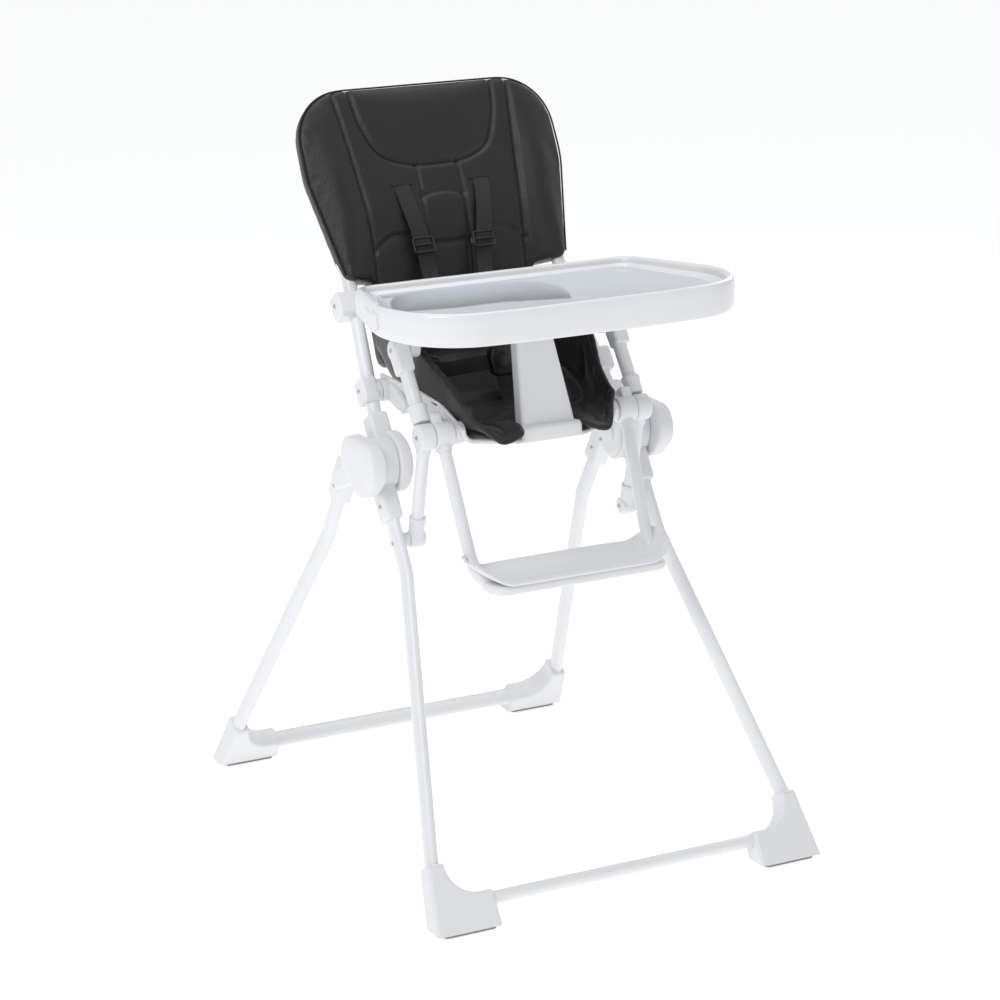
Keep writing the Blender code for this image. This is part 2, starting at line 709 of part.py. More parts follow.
def crotch_post(name):
    """A tapered blade that stands on the seat's front rail and leans back."""
    direction = unit(CROTCH_BASE, CROTCH_TOP)
    length = math.dist(CROTCH_BASE, CROTCH_TOP)
    half_low, half_high = CROTCH_BASE_WIDTH / 2, CROTCH_TOP_WIDTH / 2
    outline = [(-half_low, 0), (half_low, 0)]
    outline += circle((half_high - 0.014, length - 0.014), 0.014, 0, 90, 4)
    outline += circle((-half_high + 0.014, length - 0.014), 0.014, 90, 180, 4)
    post = top_shape(name, outline, 0, CROTCH_DEPTH, 0.004)
    place = Matrix(
        (
            (1, 0, 0, 0),
            (0, direction[0], direction[1], CROTCH_BASE[0]),
            (0, direction[1], -direction[0], CROTCH_BASE[1]),
            (0, 0, 0, 1),
        )
    )
    post.data.transform(place)
    bm = bmesh.new()
    bm.from_mesh(post.data)
    bmesh.ops.recalc_face_normals(bm, faces=bm.faces)
    bm.to_mesh(post.data)
    bm.free()
    front = SEAT_STATIONS[-1]
    below = box(name + "_below", (-1, -1, 0), (1, 1, front[3] + GAP))
    return finish(cut(post, below), PLASTIC_WHITE)


# ---------------------------------------------------------------- soft back and harness


def pad_outline():
    """The back pad's outline in its own plane, following the back tube's inside edge to outside edge."""
    front = BACK_TUBE_RADIUS + 0.001 + BACK_PAD_THICKNESS
    top = (HEIGHT - BACK_WAIST_HEIGHT - front * sin(UPPER_BACK_LEAN)) / cos(UPPER_BACK_LEAN)
    half = [
        (PAD_FOOT_HALF_WIDTH, PAD_FOOT, 0.02),
        (PAD_FOOT_HALF_WIDTH, -0.003, 0.004),
        (BACK_TUBE_WAIST_X + 0.004, 0.0, 0.012),
        (BACK_TUBE_TOP_X + 0.011, 0.140, 0.10),
        (BACK_TUBE_TOP_X + 0.011, top, 0.066),
    ]
    return rounded_loop(half + [(-x, up, radius) for x, up, radius in reversed(half)], 4)


def waist_point(up, forward):
    """A side-view point at a distance up the upper back from the waist, and in front of the tube."""
    waist = add(HUB, BACK_DIRECTION, (BACK_WAIST_HEIGHT - HUB_HEIGHT) / cos(BACK_LEAN))
    point = add(waist, lean(UPPER_BACK_LEAN), up)
    return add(point, (-cos(UPPER_BACK_LEAN), sin(UPPER_BACK_LEAN)), forward)


def on_back(obj, forward):
    """Lays an outline drawn in the back's plane in front of the tube."""
    up = lean(UPPER_BACK_LEAN)
    corner = waist_point(0, forward)
    place = Matrix(
        ((1, 0, 0, 0), (0, up[0], -up[1], corner[0]), (0, up[1], up[0], corner[1]), (0, 0, 0, 1))
    )
    obj.data.transform(place)
    return obj


def back_pad(name):
    pad = top_shape(name, pad_outline(), 0, BACK_PAD_THICKNESS, 0.010, 2)
    return finish(on_back(pad, BACK_TUBE_RADIUS + 0.001), VINYL_BLACK)


def shoulder_strap(name, side):
    """Webbing from the slot in the pad down to the buckle."""
    front = BACK_TUBE_RADIUS + BACK_PAD_THICKNESS + 0.004
    points = [(side * 0.061, *waist_point(0.146, front))]
    points += [(side * 0.048, *waist_point(0.055, front)), (side * 0.036, *waist_point(-0.085, front + 0.008))]
    normal = (0, -cos(UPPER_BACK_LEAN), sin(UPPER_BACK_LEAN))
    strap = tube(name, rounded_path(points, [0.15]), 0.0125, 8, (normal, 0.12))
    return finish(strap, WEBBING_BLACK)


def strap_adjuster(name, side):
    """A slider in front of the strap, standing 0.5 mm clear of it."""
    front = BACK_TUBE_RADIUS + BACK_PAD_THICKNESS + 0.0065
    frame = top_shape(name, [(-0.017, -0.013), (0.017, -0.013), (0.017, 0.013), (-0.017, 0.013)], 0, 0.003, 0.0008, 1)
    window = box(name + "_window", (-0.012, -0.0085, -0.01), (0.012, 0.0085, 0.01))
    slider = cut(frame, window)
    bar = box(name + "_bar", (-0.013, -0.002, 0.0004), (0.013, 0.002, 0.0026))
    slider = join(slider, bar)
    slider.data.transform(Matrix.Translation((side * 0.049, 0.055, 0)))
    return finish(on_back(slider, front), BUCKLE_BLACK)


def buckle(name):
    body = box(name, (-0.022, -0.009, -0.026), (0.022, 0.009, 0.020), 0.005)
    body.data.transform(Matrix.Translation((0, *BUCKLE)))
    room = box(name + "_room", (-0.0115, -0.0125, -0.0115), (0.0115, -0.005, 0.0115))
    room.data.transform(Matrix.Translation((0, *BUCKLE)))
    return finish(cut(body, room), BUCKLE_BLACK)


def buckle_button(name):
    button = box(name, (-0.011, -0.0105, -0.011), (0.011, -0.0075, 0.011), 0.0008)
    button.data.transform(Matrix.Translation((0, *BUCKLE)))
    return finish(set_origin(button, (0, *BUCKLE)), BUCKLE_BLACK)


def crotch_strap(name):
    floor = seat_floor(-0.075) + SHELL_WALL + PAD_THICKNESS + 0.0135
    points = [(0, -0.080, floor), (0, BUCKLE[0], BUCKLE[1] - 0.0268)]
    strap = tube(name, points, 0.0125, 8, ((0, 1, 0.7), 0.14))
    return finish(strap, WEBBING_BLACK)


def seat_floor(y):
    """The seat shell's underside height at y."""
    for (y0, _, z0, _), (y1, _, z1, _) in zip(SEAT_STATIONS, SEAT_STATIONS[1:]):
        if y1 <= y <= y0:
            return z0 + (z1 - z0) * (y - y0) / (y1 - y0)
    return SEAT_STATIONS[0][2]


# ---------------------------------------------------------------- footrest frame and links


def knuckle(name, side):
    """The barrel on the seat's front pivot, with a collar for the post and a socket for the footrest tube."""
    low_x, high_x = side * KNUCKLE_INNER_X, side * LINK_EYE_X[0]
    barrel = x_cylinder(name, KNUCKLE, KNUCKLE_RADIUS, low_x, high_x, 20, 0.0015)
    direction = unit(KNUCKLE, POST_TOP)
    a, b = add(KNUCKLE, direction, KNUCKLE_RADIUS + 0.0015), add(KNUCKLE, direction, 0.046)
    collar = side_box(name + "_collar", a, b, 0.0135, side * (POST_X - 0.0135), side * (POST_X + 0.0125), 0.003)
    neck_start, neck_end = add(KNUCKLE, direction, 0.006), add(KNUCKLE, direction, 0.034)
    neck = side_box(name + "_neck", neck_start, neck_end, 0.0125, side * (POST_X - 0.027), side * LINK_EYE_X[0])
    room = post_bar(name + "_post_room", side, RUNNING_GAP)
    socket = footrest_tube(name + "_tube_room", GAP)
    bore = x_cylinder(name + "_bore", KNUCKLE, KNUCKLE_PIN + RUNNING_GAP, side * 0.12, side * 0.19, 16)
    return finish(cut(join(barrel, neck, collar), room, socket, bore), PLASTIC_WHITE)


def post_bar(name, side, grow=0.0):
    direction = unit(KNUCKLE, POST_TOP)
    length = math.dist(KNUCKLE, POST_TOP)
    low, high = add(KNUCKLE, direction, 0.026 - grow), add(KNUCKLE, direction, length - 0.019 + grow)
    return tube(name, [(side * POST_X, *low), (side * POST_X, *high)], POST_RADIUS + grow)


def post_cap(name, side):
    """The fitting on the post's top end that turns on the arm's spigot."""
    direction = unit(KNUCKLE, POST_TOP)
    length = math.dist(KNUCKLE, POST_TOP)
    low_x, high_x = side * (ARM_X[1] + RUNNING_GAP), side * (POST_X + 0.0130)
    head = x_cylinder(name, POST_TOP, 0.0140, low_x, high_x, 20, 0.0015)
    a, b = add(KNUCKLE, direction, length), add(KNUCKLE, direction, length - 0.036)
    sleeve = side_box(name + "_sleeve", a, b, 0.0130, low_x, high_x, 0.003)
    bore = x_cylinder(name + "_bore", POST_TOP, ARM_SPIGOT + RUNNING_GAP, side * 0.14, side * 0.19, 16)
    return finish(cut(join(head, sleeve), bore, post_bar(name + "_room", side, RUNNING_GAP)), PLASTIC_WHITE)


def footrest_path(start):
    top = add(KNUCKLE, unit(KNUCKLE, FOOTREST_LOW), start)
    half = [(FOOTREST_TUBE_X, *top), (FOOTREST_BEND_X, *FOOTREST_LOW), (FOOTREST_BAR_X, *FOOTREST_BAR)]
    corners = half + [(-x, y, z) for x, y, z in reversed(half)]
    return rounded_path(corners, [0.045, 0.030, 0.030, 0.045])


def footrest_tube(name, grow=0.0):
    return tube(name, footrest_path(0.012 - grow), FOOTREST_TUBE_RADIUS + grow)


def footrest_plate(name):
    """A shallow dish that sits on the footrest tube's cross bar."""
    half_x, depth = PLATE_LENGTH / 2, PLATE_DEPTH
    y, low = FOOTREST_BAR[0], FOOTREST_BAR[1] - 0.004
    corners = [(half_x, y - depth / 2), (half_x, y + depth / 2), (-half_x, y + depth / 2), (-half_x, y - depth / 2)]
    outline = rounded_loop([(*corner, 0.026) for corner in corners])
    plate = top_shape(name, outline, low, low + 0.036, 0.004)
    dish_low = (-half_x + 0.012, y - depth / 2 + 0.010, low + 0.022)
    dish = box(name + "_dish", dish_low, (half_x - 0.012, y + depth / 2 - 0.010, 1))
    bar_top = FOOTREST_BAR[1] + FOOTREST_TUBE_RADIUS + GAP
    under_low = (-half_x + 0.010, y - depth / 2 + 0.006, 0)
    under = box(name + "_under", under_low, (half_x - 0.010, y + depth / 2 - 0.006, bar_top))
    notch_x = FOOTREST_BAR_X - 0.030 - 0.002
    notch_y = FOOTREST_BAR[0] - FOOTREST_TUBE_RADIUS - 0.002
    notches = [
        box(name + "_notch", (notch_x, notch_y, 0), (1, 0, 1)),
        box(name + "_notch", (-1, notch_y, 0), (-notch_x, 0, 1)),
    ]
    return finish(cut(plate, dish, under, *notches), PLASTIC_WHITE)


def link_tube(name, side, grow=0.0):
    direction = unit(KNUCKLE, LINK_FOOT)
    low = add(KNUCKLE, direction, math.dist(KNUCKLE, LINK_FOOT) - 0.018 + grow)
    high = add(KNUCKLE, direction, KNUCKLE_RADIUS - 0.002 - grow)
    return tube(name, [(side * LINK_X, *high), (side * LINK_X, *low)], LINK_RADIUS + grow)


def link_eye(name, side):
    """The link's upper end: a drum that turns on the seat's pin beside the knuckle."""
    drum = x_cylinder(name, KNUCKLE, KNUCKLE_RADIUS, side * (LINK_EYE_X[0] + RUNNING_GAP), side * LINK_EYE_X[1], 20, 0.0015)
    bore = x_cylinder(name + "_bore", KNUCKLE, KNUCKLE_PIN + RUNNING_GAP, side * 0.12, side * (KNUCKLE_OUTER_X - 0.0025), 20)
    return finish(cut(drum, bore, link_tube(name + "_room", side, GAP)), PLASTIC_WHITE)


def link_elbow(name, side):
    """The link's lower end, which hangs on the front leg's pin with room to float."""
    direction = unit(KNUCKLE, LINK_FOOT)
    low_x, high_x = side * (LINK_X - 0.0125), side * (LINK_X + 0.0110)
    drum = x_cylinder(name, LINK_FOOT, 0.0145, low_x, high_x, 20, 0.0015)
    sleeve = side_box(name + "_sleeve", LINK_FOOT, add(LINK_FOOT, direction, -0.034), 0.0122, low_x, high_x - side * 0.001, 0.003)
    bore = x_cylinder(name + "_bore", LINK_FOOT, LINK_PIN + LINK_FLOAT, side * (LINK_X - 0.0085), side * 0.2, 16)
    return finish(cut(join(drum, sleeve), bore, link_tube(name + "_room", side, GAP)), PLASTIC_WHITE)


# ---------------------------------------------------------------- arms and tray


def armrest(name, side):
    """A bar from the rear pivot forward, level on top, with a lug that carries the post's spigot."""
    outline = circle(ARM_PIVOT, 0.0160, 100, 265, 8)
    outline += circle(POST_TOP, 0.0125, -60, -190, 8)
    outline += [(ARM_FRONT + 0.004, ARM_TOP - 0.022), (ARM_FRONT, ARM_TOP - 0.016), (ARM_FRONT, ARM_TOP - 0.003)]
    outline += [(ARM_FRONT + 0.003, ARM_TOP), (ARM_PIVOT[0] - 0.030, ARM_TOP)]
    bar = side_shape(name, outline, side * ARM_X[0], side * ARM_X[1], 0.0012, 1)
    spigot = x_cylinder(name + "_spigot", POST_TOP, ARM_SPIGOT, side * 0.150, side * (POST_X + 0.0115), 20)
    bore = x_cylinder(name + "_bore", ARM_PIVOT, SPIGOT + RUNNING_GAP, side * 0.12, side * 0.17, 16)
    return finish(cut(join(bar, spigot), bore), PLASTIC_WHITE)


def tray_slider(name, side):
    """A channel that rides along the armrest's top."""
    wall, gap = 0.003, RUNNING_GAP
    low = (ARM_X[0] - gap - wall, SLIDER_Y[0], ARM_TOP - 0.016)
    high = (ARM_X[1] + gap + wall, SLIDER_Y[1], ARM_TOP + gap + wall)
    rail_low = (ARM_X[0] - gap, -1, 0)
    rail_high = (ARM_X[1] + gap, 1, ARM_TOP + gap)
    if side < 0:
        low, high = (-high[0], *low[1:]), (-low[0], *high[1:])
        rail_low, rail_high = (-rail_high[0], *rail_low[1:]), (-rail_low[0], *rail_high[1:])
    body = cut(box(name, low, high, 0.0008), box(name + "_rail", rail_low, rail_high))
    return finish(body, PLASTIC_WHITE)


def tray_outline(inset=0.0):
    """The tray's plan: a straight rear edge, sides that widen forward, and a bowed front."""
    rear, front = TRAY_REAR - inset, TRAY_FRONT + inset
    half_rear, half = TRAY_REAR_HALF_WIDTH - inset, TRAY_HALF_WIDTH - inset
    bow = 0.022
    right = [
        (half_rear, rear, 0.030 - inset * 0.5),
        (half, rear + (front - rear) * 0.55, 0.10),
        (half * 0.955, front + bow, 0.085 - inset),
    ]
    return rounded_loop(right + [(0, front, 0.50)] + [(-x, y, r) for x, y, r in reversed(right)])


def tray_body(name):
    """A skirted tray: a bowed rim, a sunk floor, and a hinge boss under the child's left side."""
    body = top_shape(name, tray_outline(), TRAY_SKIRT_HEIGHT, TRAY_RIM_HEIGHT, 0.004)
    hollow = top_shape(name + "_hollow", tray_outline(TRAY_WALL), TRAY_SKIRT_HEIGHT - 0.05, TRAY_FLOOR_HEIGHT)
    recess = top_shape(name + "_recess", tray_outline(TRAY_RIM_WIDTH), TRAY_FLOOR_HEIGHT + TRAY_WALL, 1.0)
    rise = math.atan2(TRAY_REAR_RISE, TRAY_REAR - TRAY_FRONT)
    slope = box(name + "_slope", (-1, 0, -0.1), (1, 1, 0), 0, None)
    slope.data.transform(
        Matrix.Translation((0, TRAY_FRONT - 0.001, TRAY_SKIRT_HEIGHT - 0.0001)) @ Matrix.Rotation(rise, 4, "X")
    )
    latch_room = box(name + "_latch", *latch_box(0.0006))
    body = cut(body, hollow, recess, slope, latch_room)
    boss = z_cylinder(name + "_boss", HINGE_PLACE, 0.0120, ARM_TOP + 0.0045, TRAY_FLOOR_HEIGHT + 0.001)
    bore = z_cylinder(name + "_bore", HINGE_PLACE, HINGE_PIN + RUNNING_GAP, ARM_TOP, TRAY_FLOOR_HEIGHT)
    return finish(set_origin(cut(join(body, boss), bore), (*HINGE_PLACE, TRAY_FLOOR_HEIGHT)), PLASTIC_WHITE)


def z_cylinder(name, centre, radius, low_z, high_z, sides=20, bevel=0.0):
    mesh = bpy.data.meshes.new(name)
    bm = bmesh.new()
    place = Matrix.Translation((*centre, (low_z + high_z) / 2))
    bmesh.ops.create_cone(
        bm, cap_ends=True, segments=sides, radius1=radius, radius2=radius, depth=high_z - low_z, matrix=place
    )
    bm.to_mesh(mesh)
    bm.free()
    return add_bevel(bpy.data.objects.new(name, mesh), bevel)


def tray_insert(name):
    low = TRAY_FLOOR_HEIGHT + TRAY_WALL + GAP
    plate = top_shape(name, tray_outline(TRAY_RIM_WIDTH + 0.001), low, low + 0.0025, 0.0006, 1)
    return finish(plate, INSERT_BLUE)


def latch_box(grow):
    """The corners of the latch paddle at the tray's right-hand end, or of the room cut for it."""
    low = (-TRAY_HALF_WIDTH - 0.004, LATCH_Y[0] - grow, LATCH_Z[0] - (LATCH_FINGER_ROOM if grow else 0))
    high = (-TRAY_HALF_WIDTH + 0.012 + grow, LATCH_Y[1] + grow, LATCH_Z[1] + grow)
    return low, high


def tray_latch(name):
    low, high = latch_box(0.0)
    paddle = box(name, (low[0] + 0.006, low[1], low[2]), high, 0.0012)
    return finish(set_origin(paddle, (low[0] + 0.006, (low[1] + high[1]) / 2, high[2])), PLASTIC_WHITE)


def build():
    finish(FRONT_LEG.frame("front_leg_frame"), TUBE_WHITE)
    finish(REAR_LEG.frame("rear_leg_frame"), TUBE_WHITE)
    finish(back_tube("back_tube"), TUBE_WHITE)
    finish(footrest_tube("footrest_tube"), TUBE_WHITE)
    for hand, side in SIDES.items():
        foot_cap(f"front_foot_cap_{hand}", side, FRONT_LEG)
        foot_cap(f"rear_foot_cap_{hand}", side, REAR_LEG)
        foot_pad(f"front_foot_pad_{hand}", side, FRONT_LEG)
        foot_pad(f"rear_foot_pad_{hand}", side, REAR_LEG)
        front_hub(f"front_leg_hub_{hand}", side)
        hub_cover(f"rear_leg_hub_{hand}", side)
        inner_hub(f"back_hub_{hand}", side)
        hub_axle(f"hub_axle_{hand}", side)
        hub_button(f"hub_button_{hand}", side)
        link_boss(f"link_boss_{hand}", side)
        pivot_block(f"seat_block_{hand}", side, SEAT_PIVOT_ALONG, SEAT_BLOCK_X, 0.1515)
        pivot_block(f"arm_block_{hand}", side, ARM_PIVOT_ALONG, ARM_BLOCK_X, 0.1405)
        knuckle(f"knuckle_{hand}", side)
        finish(post_bar(f"post_{hand}", side), TUBE_WHITE)
        post_cap(f"post_cap_{hand}", side)
        finish(link_tube(f"link_tube_{hand}", side), TUBE_WHITE)
        link_eye(f"link_eye_{hand}", side)
        link_elbow(f"link_elbow_{hand}", side)
        armrest(f"armrest_{hand}", side)
        tray_slider(f"tray_slider_{hand}", side)
        shoulder_strap(f"shoulder_strap_{hand}", side)
        strap_adjuster(f"strap_adjuster_{hand}", side)
    seat_shell("seat_shell")
    seat_pad("seat_pad")
    crotch_post("crotch_post")
    back_pad("back_pad")
    buckle("buckle")
    buckle_button("buckle_button")
    crotch_strap("crotch_strap")
    footrest_plate("footrest_plate")
    tray_body("tray_body")
    tray_insert("tray_insert")
    tray_latch("tray_latch")
    finish(z_cylinder("tray_hinge_pin", HINGE_PLACE, HINGE_PIN, ARM_TOP + 0.0042, TRAY_FLOOR_HEIGHT - 0.0005, 20, 0.0005), STEEL)


build()
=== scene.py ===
"""Looks for a folding baby high chair: white tube legs, moulded hubs, padded black seat and back.

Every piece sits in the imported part's own frame, in metres: +Z up, the chair faces -Y, +X is the
child's left. Side view points are (y, z). Shapes are numpy surfaces of two parameters.
"""

import json
import math

import bpy
import numpy as np
from bpy.props import FloatProperty, FloatVectorProperty, PointerProperty
from mathutils import Matrix, Vector
from mathutils.bvhtree import BVHTree
from mathutils.kdtree import KDTree


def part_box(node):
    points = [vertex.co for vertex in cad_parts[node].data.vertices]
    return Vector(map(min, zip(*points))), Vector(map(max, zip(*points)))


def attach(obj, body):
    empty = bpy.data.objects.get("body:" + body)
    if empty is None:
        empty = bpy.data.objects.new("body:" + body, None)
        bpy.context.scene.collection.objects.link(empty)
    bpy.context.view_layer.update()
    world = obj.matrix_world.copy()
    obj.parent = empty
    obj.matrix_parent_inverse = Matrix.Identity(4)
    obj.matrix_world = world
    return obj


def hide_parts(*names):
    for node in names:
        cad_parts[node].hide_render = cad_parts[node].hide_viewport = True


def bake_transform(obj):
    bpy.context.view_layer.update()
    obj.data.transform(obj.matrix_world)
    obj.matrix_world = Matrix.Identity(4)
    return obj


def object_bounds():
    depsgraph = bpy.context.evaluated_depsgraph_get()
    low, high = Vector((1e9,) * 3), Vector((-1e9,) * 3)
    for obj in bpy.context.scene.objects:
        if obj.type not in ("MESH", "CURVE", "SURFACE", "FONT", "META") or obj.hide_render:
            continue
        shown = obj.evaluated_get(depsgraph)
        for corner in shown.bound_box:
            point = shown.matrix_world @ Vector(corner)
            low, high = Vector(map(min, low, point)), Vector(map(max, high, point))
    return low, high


bl_info = {
    "name": "Baby high chair looks",
    "version": (1, 0, 0),
    "blender": (4, 5, 0),
    "location": "View3D > Sidebar > High chair",
    "description": "Builds the visible pieces and finishes of a folding baby high chair",
    "category": "Object",
}

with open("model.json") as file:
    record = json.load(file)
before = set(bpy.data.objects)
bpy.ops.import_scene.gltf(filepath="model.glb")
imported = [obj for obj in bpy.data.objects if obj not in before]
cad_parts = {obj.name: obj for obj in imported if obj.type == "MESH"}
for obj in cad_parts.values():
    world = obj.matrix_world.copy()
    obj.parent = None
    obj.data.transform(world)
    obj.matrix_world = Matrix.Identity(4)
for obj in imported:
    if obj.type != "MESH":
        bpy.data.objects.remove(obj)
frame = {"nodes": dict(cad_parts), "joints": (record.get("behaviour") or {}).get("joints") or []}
CAD_BOX = [list(corner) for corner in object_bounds()]
JOINTS = {joint["name"]: joint for joint in frame["joints"]}
SIDES = {"left": 1, "right": -1}


def joint_place(name):
    """The side view point of a hinge."""
    return np.array(JOINTS[name]["pos_m"][1:])


def node_middle(name):
    low, high = (np.array(corner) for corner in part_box(name))
    return (low + high) / 2


def node_x(name):
    """A node's nearest and farthest distance from the chair's middle, and which side it is on."""
    low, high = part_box(name)
    side = 1 if low.x + high.x > 0 else -1
    near, far = sorted((abs(low.x), abs(high.x)))
    return near, far, side


HUB = joint_place("front_leg_fold")
SEAT_PIVOT = joint_place("seat_drop")
ARM_PIVOT = joint_place("arm_drop")
KNUCKLE = joint_place("footrest_fold")
POST_TOP = KNUCKLE + ARM_PIVOT - SEAT_PIVOT
LINK_FOOT = node_middle("link_boss_left")[1:]

# The back tube leans by one angle up to the waist, and by less above it
BACK_LEAN = math.radians(34.0)
UPPER_LEAN = math.radians(24.6)
WAIST_HEIGHT = 0.795
WAIST = HUB + (WAIST_HEIGHT - HUB[1]) * np.array([math.tan(BACK_LEAN), 1])
BACK_UP = np.array([math.sin(UPPER_LEAN), math.cos(UPPER_LEAN)])
BACK_FORWARD = np.array([-math.cos(UPPER_LEAN), math.sin(UPPER_LEAN)])
BACK_TOP = (CAD_BOX[1][2] - WAIST_HEIGHT) / math.cos(UPPER_LEAN)

# Leg lines: side of the chair they stand on, distance behind the hub axis, and tube distance out
FLOOR_BAR_HEIGHT = 0.030
LEG_REACH = 0.4125 - 0.018 / math.cos(math.radians(33)) + 0.0062
LEG_FOOT_X = 0.2985 - 0.0133
LEG_BEND_HEIGHT = 0.425
LEGS = {
    "front": {"facing": -1, "offset": 0.008, "tube_x": 0.1995, "socket": (-0.006, -0.088)},
    "rear": {"facing": 1, "offset": 0.078, "tube_x": 0.2085, "socket": (-0.018, -0.092)},
}
LEG_HALF = (0.009, 0.014)
SOLE_HEIGHT = 0.004
ARM_TOP = 0.7765


class ChairSizes(bpy.types.PropertyGroup):
    """Sizes of the visible detail."""

    screw: FloatProperty(name="Screw head", description="Radius of the screw heads", default=0.0034,
                         unit="LENGTH")
    piping: FloatProperty(name="Piping", description="Radius of the pads' piping", default=0.0014,
                          unit="LENGTH")
    webbing: FloatProperty(name="Webbing", description="Width of the harness webbing", default=0.024,
                           unit="LENGTH")
    voxel: FloatProperty(name="Cloth cell", description="Cell size of the simulated pads", default=0.005,
                         unit="LENGTH")
    back_swell: FloatProperty(name="Back swell", description="Most that the back pad swells", default=0.009,
                              unit="LENGTH")
    seat_swell: FloatProperty(name="Seat swell", description="Most that the seat pad swells", default=0.006,
                              unit="LENGTH")


class ChairColours(bpy.types.PropertyGroup):
    """Base colours of the finishes."""

    tube: FloatVectorProperty(name="Tube", description="Powder coat", default=(0.80, 0.81, 0.83),
                              subtype="COLOR")
    plastic: FloatVectorProperty(name="Plastic", description="White mouldings",
                                 default=(0.80, 0.805, 0.825), subtype="COLOR")
    insert: FloatVectorProperty(name="Insert", description="Tray insert", default=(0.66, 0.70, 0.755),
                                subtype="COLOR")
    cloth: FloatVectorProperty(name="Pads", description="Coated cloth", default=(0.011, 0.011, 0.012),
                               subtype="COLOR")
    webbing: FloatVectorProperty(name="Webbing", description="Harness", default=(0.012, 0.012, 0.012),
                                 subtype="COLOR")
    rubber: FloatVectorProperty(name="Rubber", description="Soles", default=(0.30, 0.28, 0.28),
                                subtype="COLOR")


# ---------------------------------------------------------------- surfaces


def unit(vectors):
    vectors = np.asarray(vectors, float)
    return vectors / np.linalg.norm(vectors, axis=-1, keepdims=True)


def rounded_path(points, radii, steps=12):
    """A polyline whose inner corners are arcs: each is centre + rotation of the first tangent point."""
    points = np.asarray(points, float)
    path = [points[:1]]
    for before, corner, after, radius in zip(points, points[1:], points[2:], radii):
        back, ahead = unit(before - corner), unit(after - corner)
        angle = math.acos(np.clip(back @ ahead, -1, 1))
        if radius == 0 or angle > math.pi - 1e-3:
            path.append(corner[None])
            continue
        reach = radius / math.tan(angle / 2)
        middle = corner + unit(back + ahead) * radius / math.sin(angle / 2)
        start = corner + back * reach - middle
        outward = unit(start)
        along = -back
        turn = np.linspace(0, math.pi - angle, steps + 1)[:, None]
        path.append(middle + radius * (outward * np.cos(turn) + along * np.sin(turn)))
    return np.concatenate(path + [points[-1:]])


def rounded_loop(corners, steps=8):
    """A closed outline of (u, v) points, with every corner (u, v, radius) rounded by an arc."""
    corners = np.asarray(corners, float)
    points = np.concatenate([corners[-1:], corners, corners[:1]])
    arcs = [
        rounded_path([(a[:2] + b[:2]) / 2, b[:2], (b[:2] + c[:2]) / 2], [b[2]], steps)[1:-1]
        for a, b, c in zip(points, points[1:], points[2:])
    ]
    return np.concatenate(arcs)


def resampled(path, count, closed=False):
    """The same line with evenly spaced points."""
    path = np.concatenate([path, path[:1]]) if closed else np.asarray(path, float)
    length = np.concatenate([[0], np.cumsum(np.linalg.norm(np.diff(path, axis=0), axis=1))])
    wanted = np.linspace(0, length[-1], count + 1)[:-1] if closed else np.linspace(0, length[-1], count)
    return np.stack([np.interp(wanted, length, path[:, k]) for k in range(path.shape[1])], axis=1)


def grid_faces(rows, columns, wrap):
    """Quads of a grid whose points are numbered row by row, closed sideways if wrap is set."""
    row, column = np.meshgrid(np.arange(rows - 1), np.arange(columns if wrap else columns - 1),
                              indexing="ij")
    right = (column + 1) % columns
    quads = np.stack([row * columns + column, row * columns + right, (row + 1) * columns + right,
                      (row + 1) * columns + column], axis=-1)
    return quads.reshape(-1, 4).tolist()


def outward(points, faces):
    """The same faces, all turned round if the solid that they close has a negative volume."""
    total = 0.0
    for size in {len(face) for face in faces}:
        flat = np.array([face for face in faces if len(face) == size])
        corners = points[flat]
        for k in range(1, size - 1):
            total += np.einsum("ij,ij->", corners[:, 0], np.cross(corners[:, k], corners[:, k + 1]))
    return (points, [face[::-1] for face in faces]) if total < 0 else (points, faces)


def closed_tube(grid):
    """A grid of rings, closed at both ends by one flat face each."""
    rows, columns = grid.shape[:2]
    faces = grid_faces(rows, columns, True)
    faces.append(list(range(columns)))
    faces.append(list(range((rows - 1) * columns, rows * columns)))
    return outward(grid.reshape(-1, 3), faces)


def swept(path, normal, across, through, sides=32):
    """p(s, a) = path(s) + across cos a side(s) + through sin a normal: a bar along a flat path."""
    path = np.asarray(path, float)
    tangent = unit(np.gradient(path, axis=0))
    side = unit(np.cross(tangent, normal))
    lift = np.cross(side, tangent)
    angle = np.linspace(0, 2 * math.pi, sides, endpoint=False)[None, :, None]
    across, through = (np.broadcast_to(size, len(path))[:, None, None] for size in (across, through))
    rings = path[:, None] + across * np.cos(angle) * side[:, None] + through * np.sin(angle) * lift[:, None]
    return closed_tube(rings)


def fillet(low, high, edge, steps=5):
    """(inset, height) pairs of a wall from low to high with a quarter round at each rim."""
    turn = np.linspace(0, math.pi / 2, steps + 1)
    bottom = np.stack([edge * (1 - np.sin(turn)), low + edge * (1 - np.cos(turn))], axis=1)
    top = np.stack([edge * (1 - np.cos(turn)), high - edge * (1 - np.sin(turn))], axis=1)
    return np.concatenate([bottom, top])


def inward(outline):
    """Unit normals that point into a counterclockwise outline, one for each corner."""
    edge = unit(np.roll(outline, -1, axis=0) - outline)
    normal = np.stack([-edge[:, 1], edge[:, 0]], axis=1)
    blend = normal + np.roll(normal, 1, axis=0)
    return blend / np.maximum((blend * blend).sum(axis=1, keepdims=True) / 2, 0.3)


def counterclockwise(outline):
    x, y = outline[:, 0], outline[:, 1]
    return outline if (x * np.roll(y, -1) - y * np.roll(x, -1)).sum() > 0 else outline[::-1]


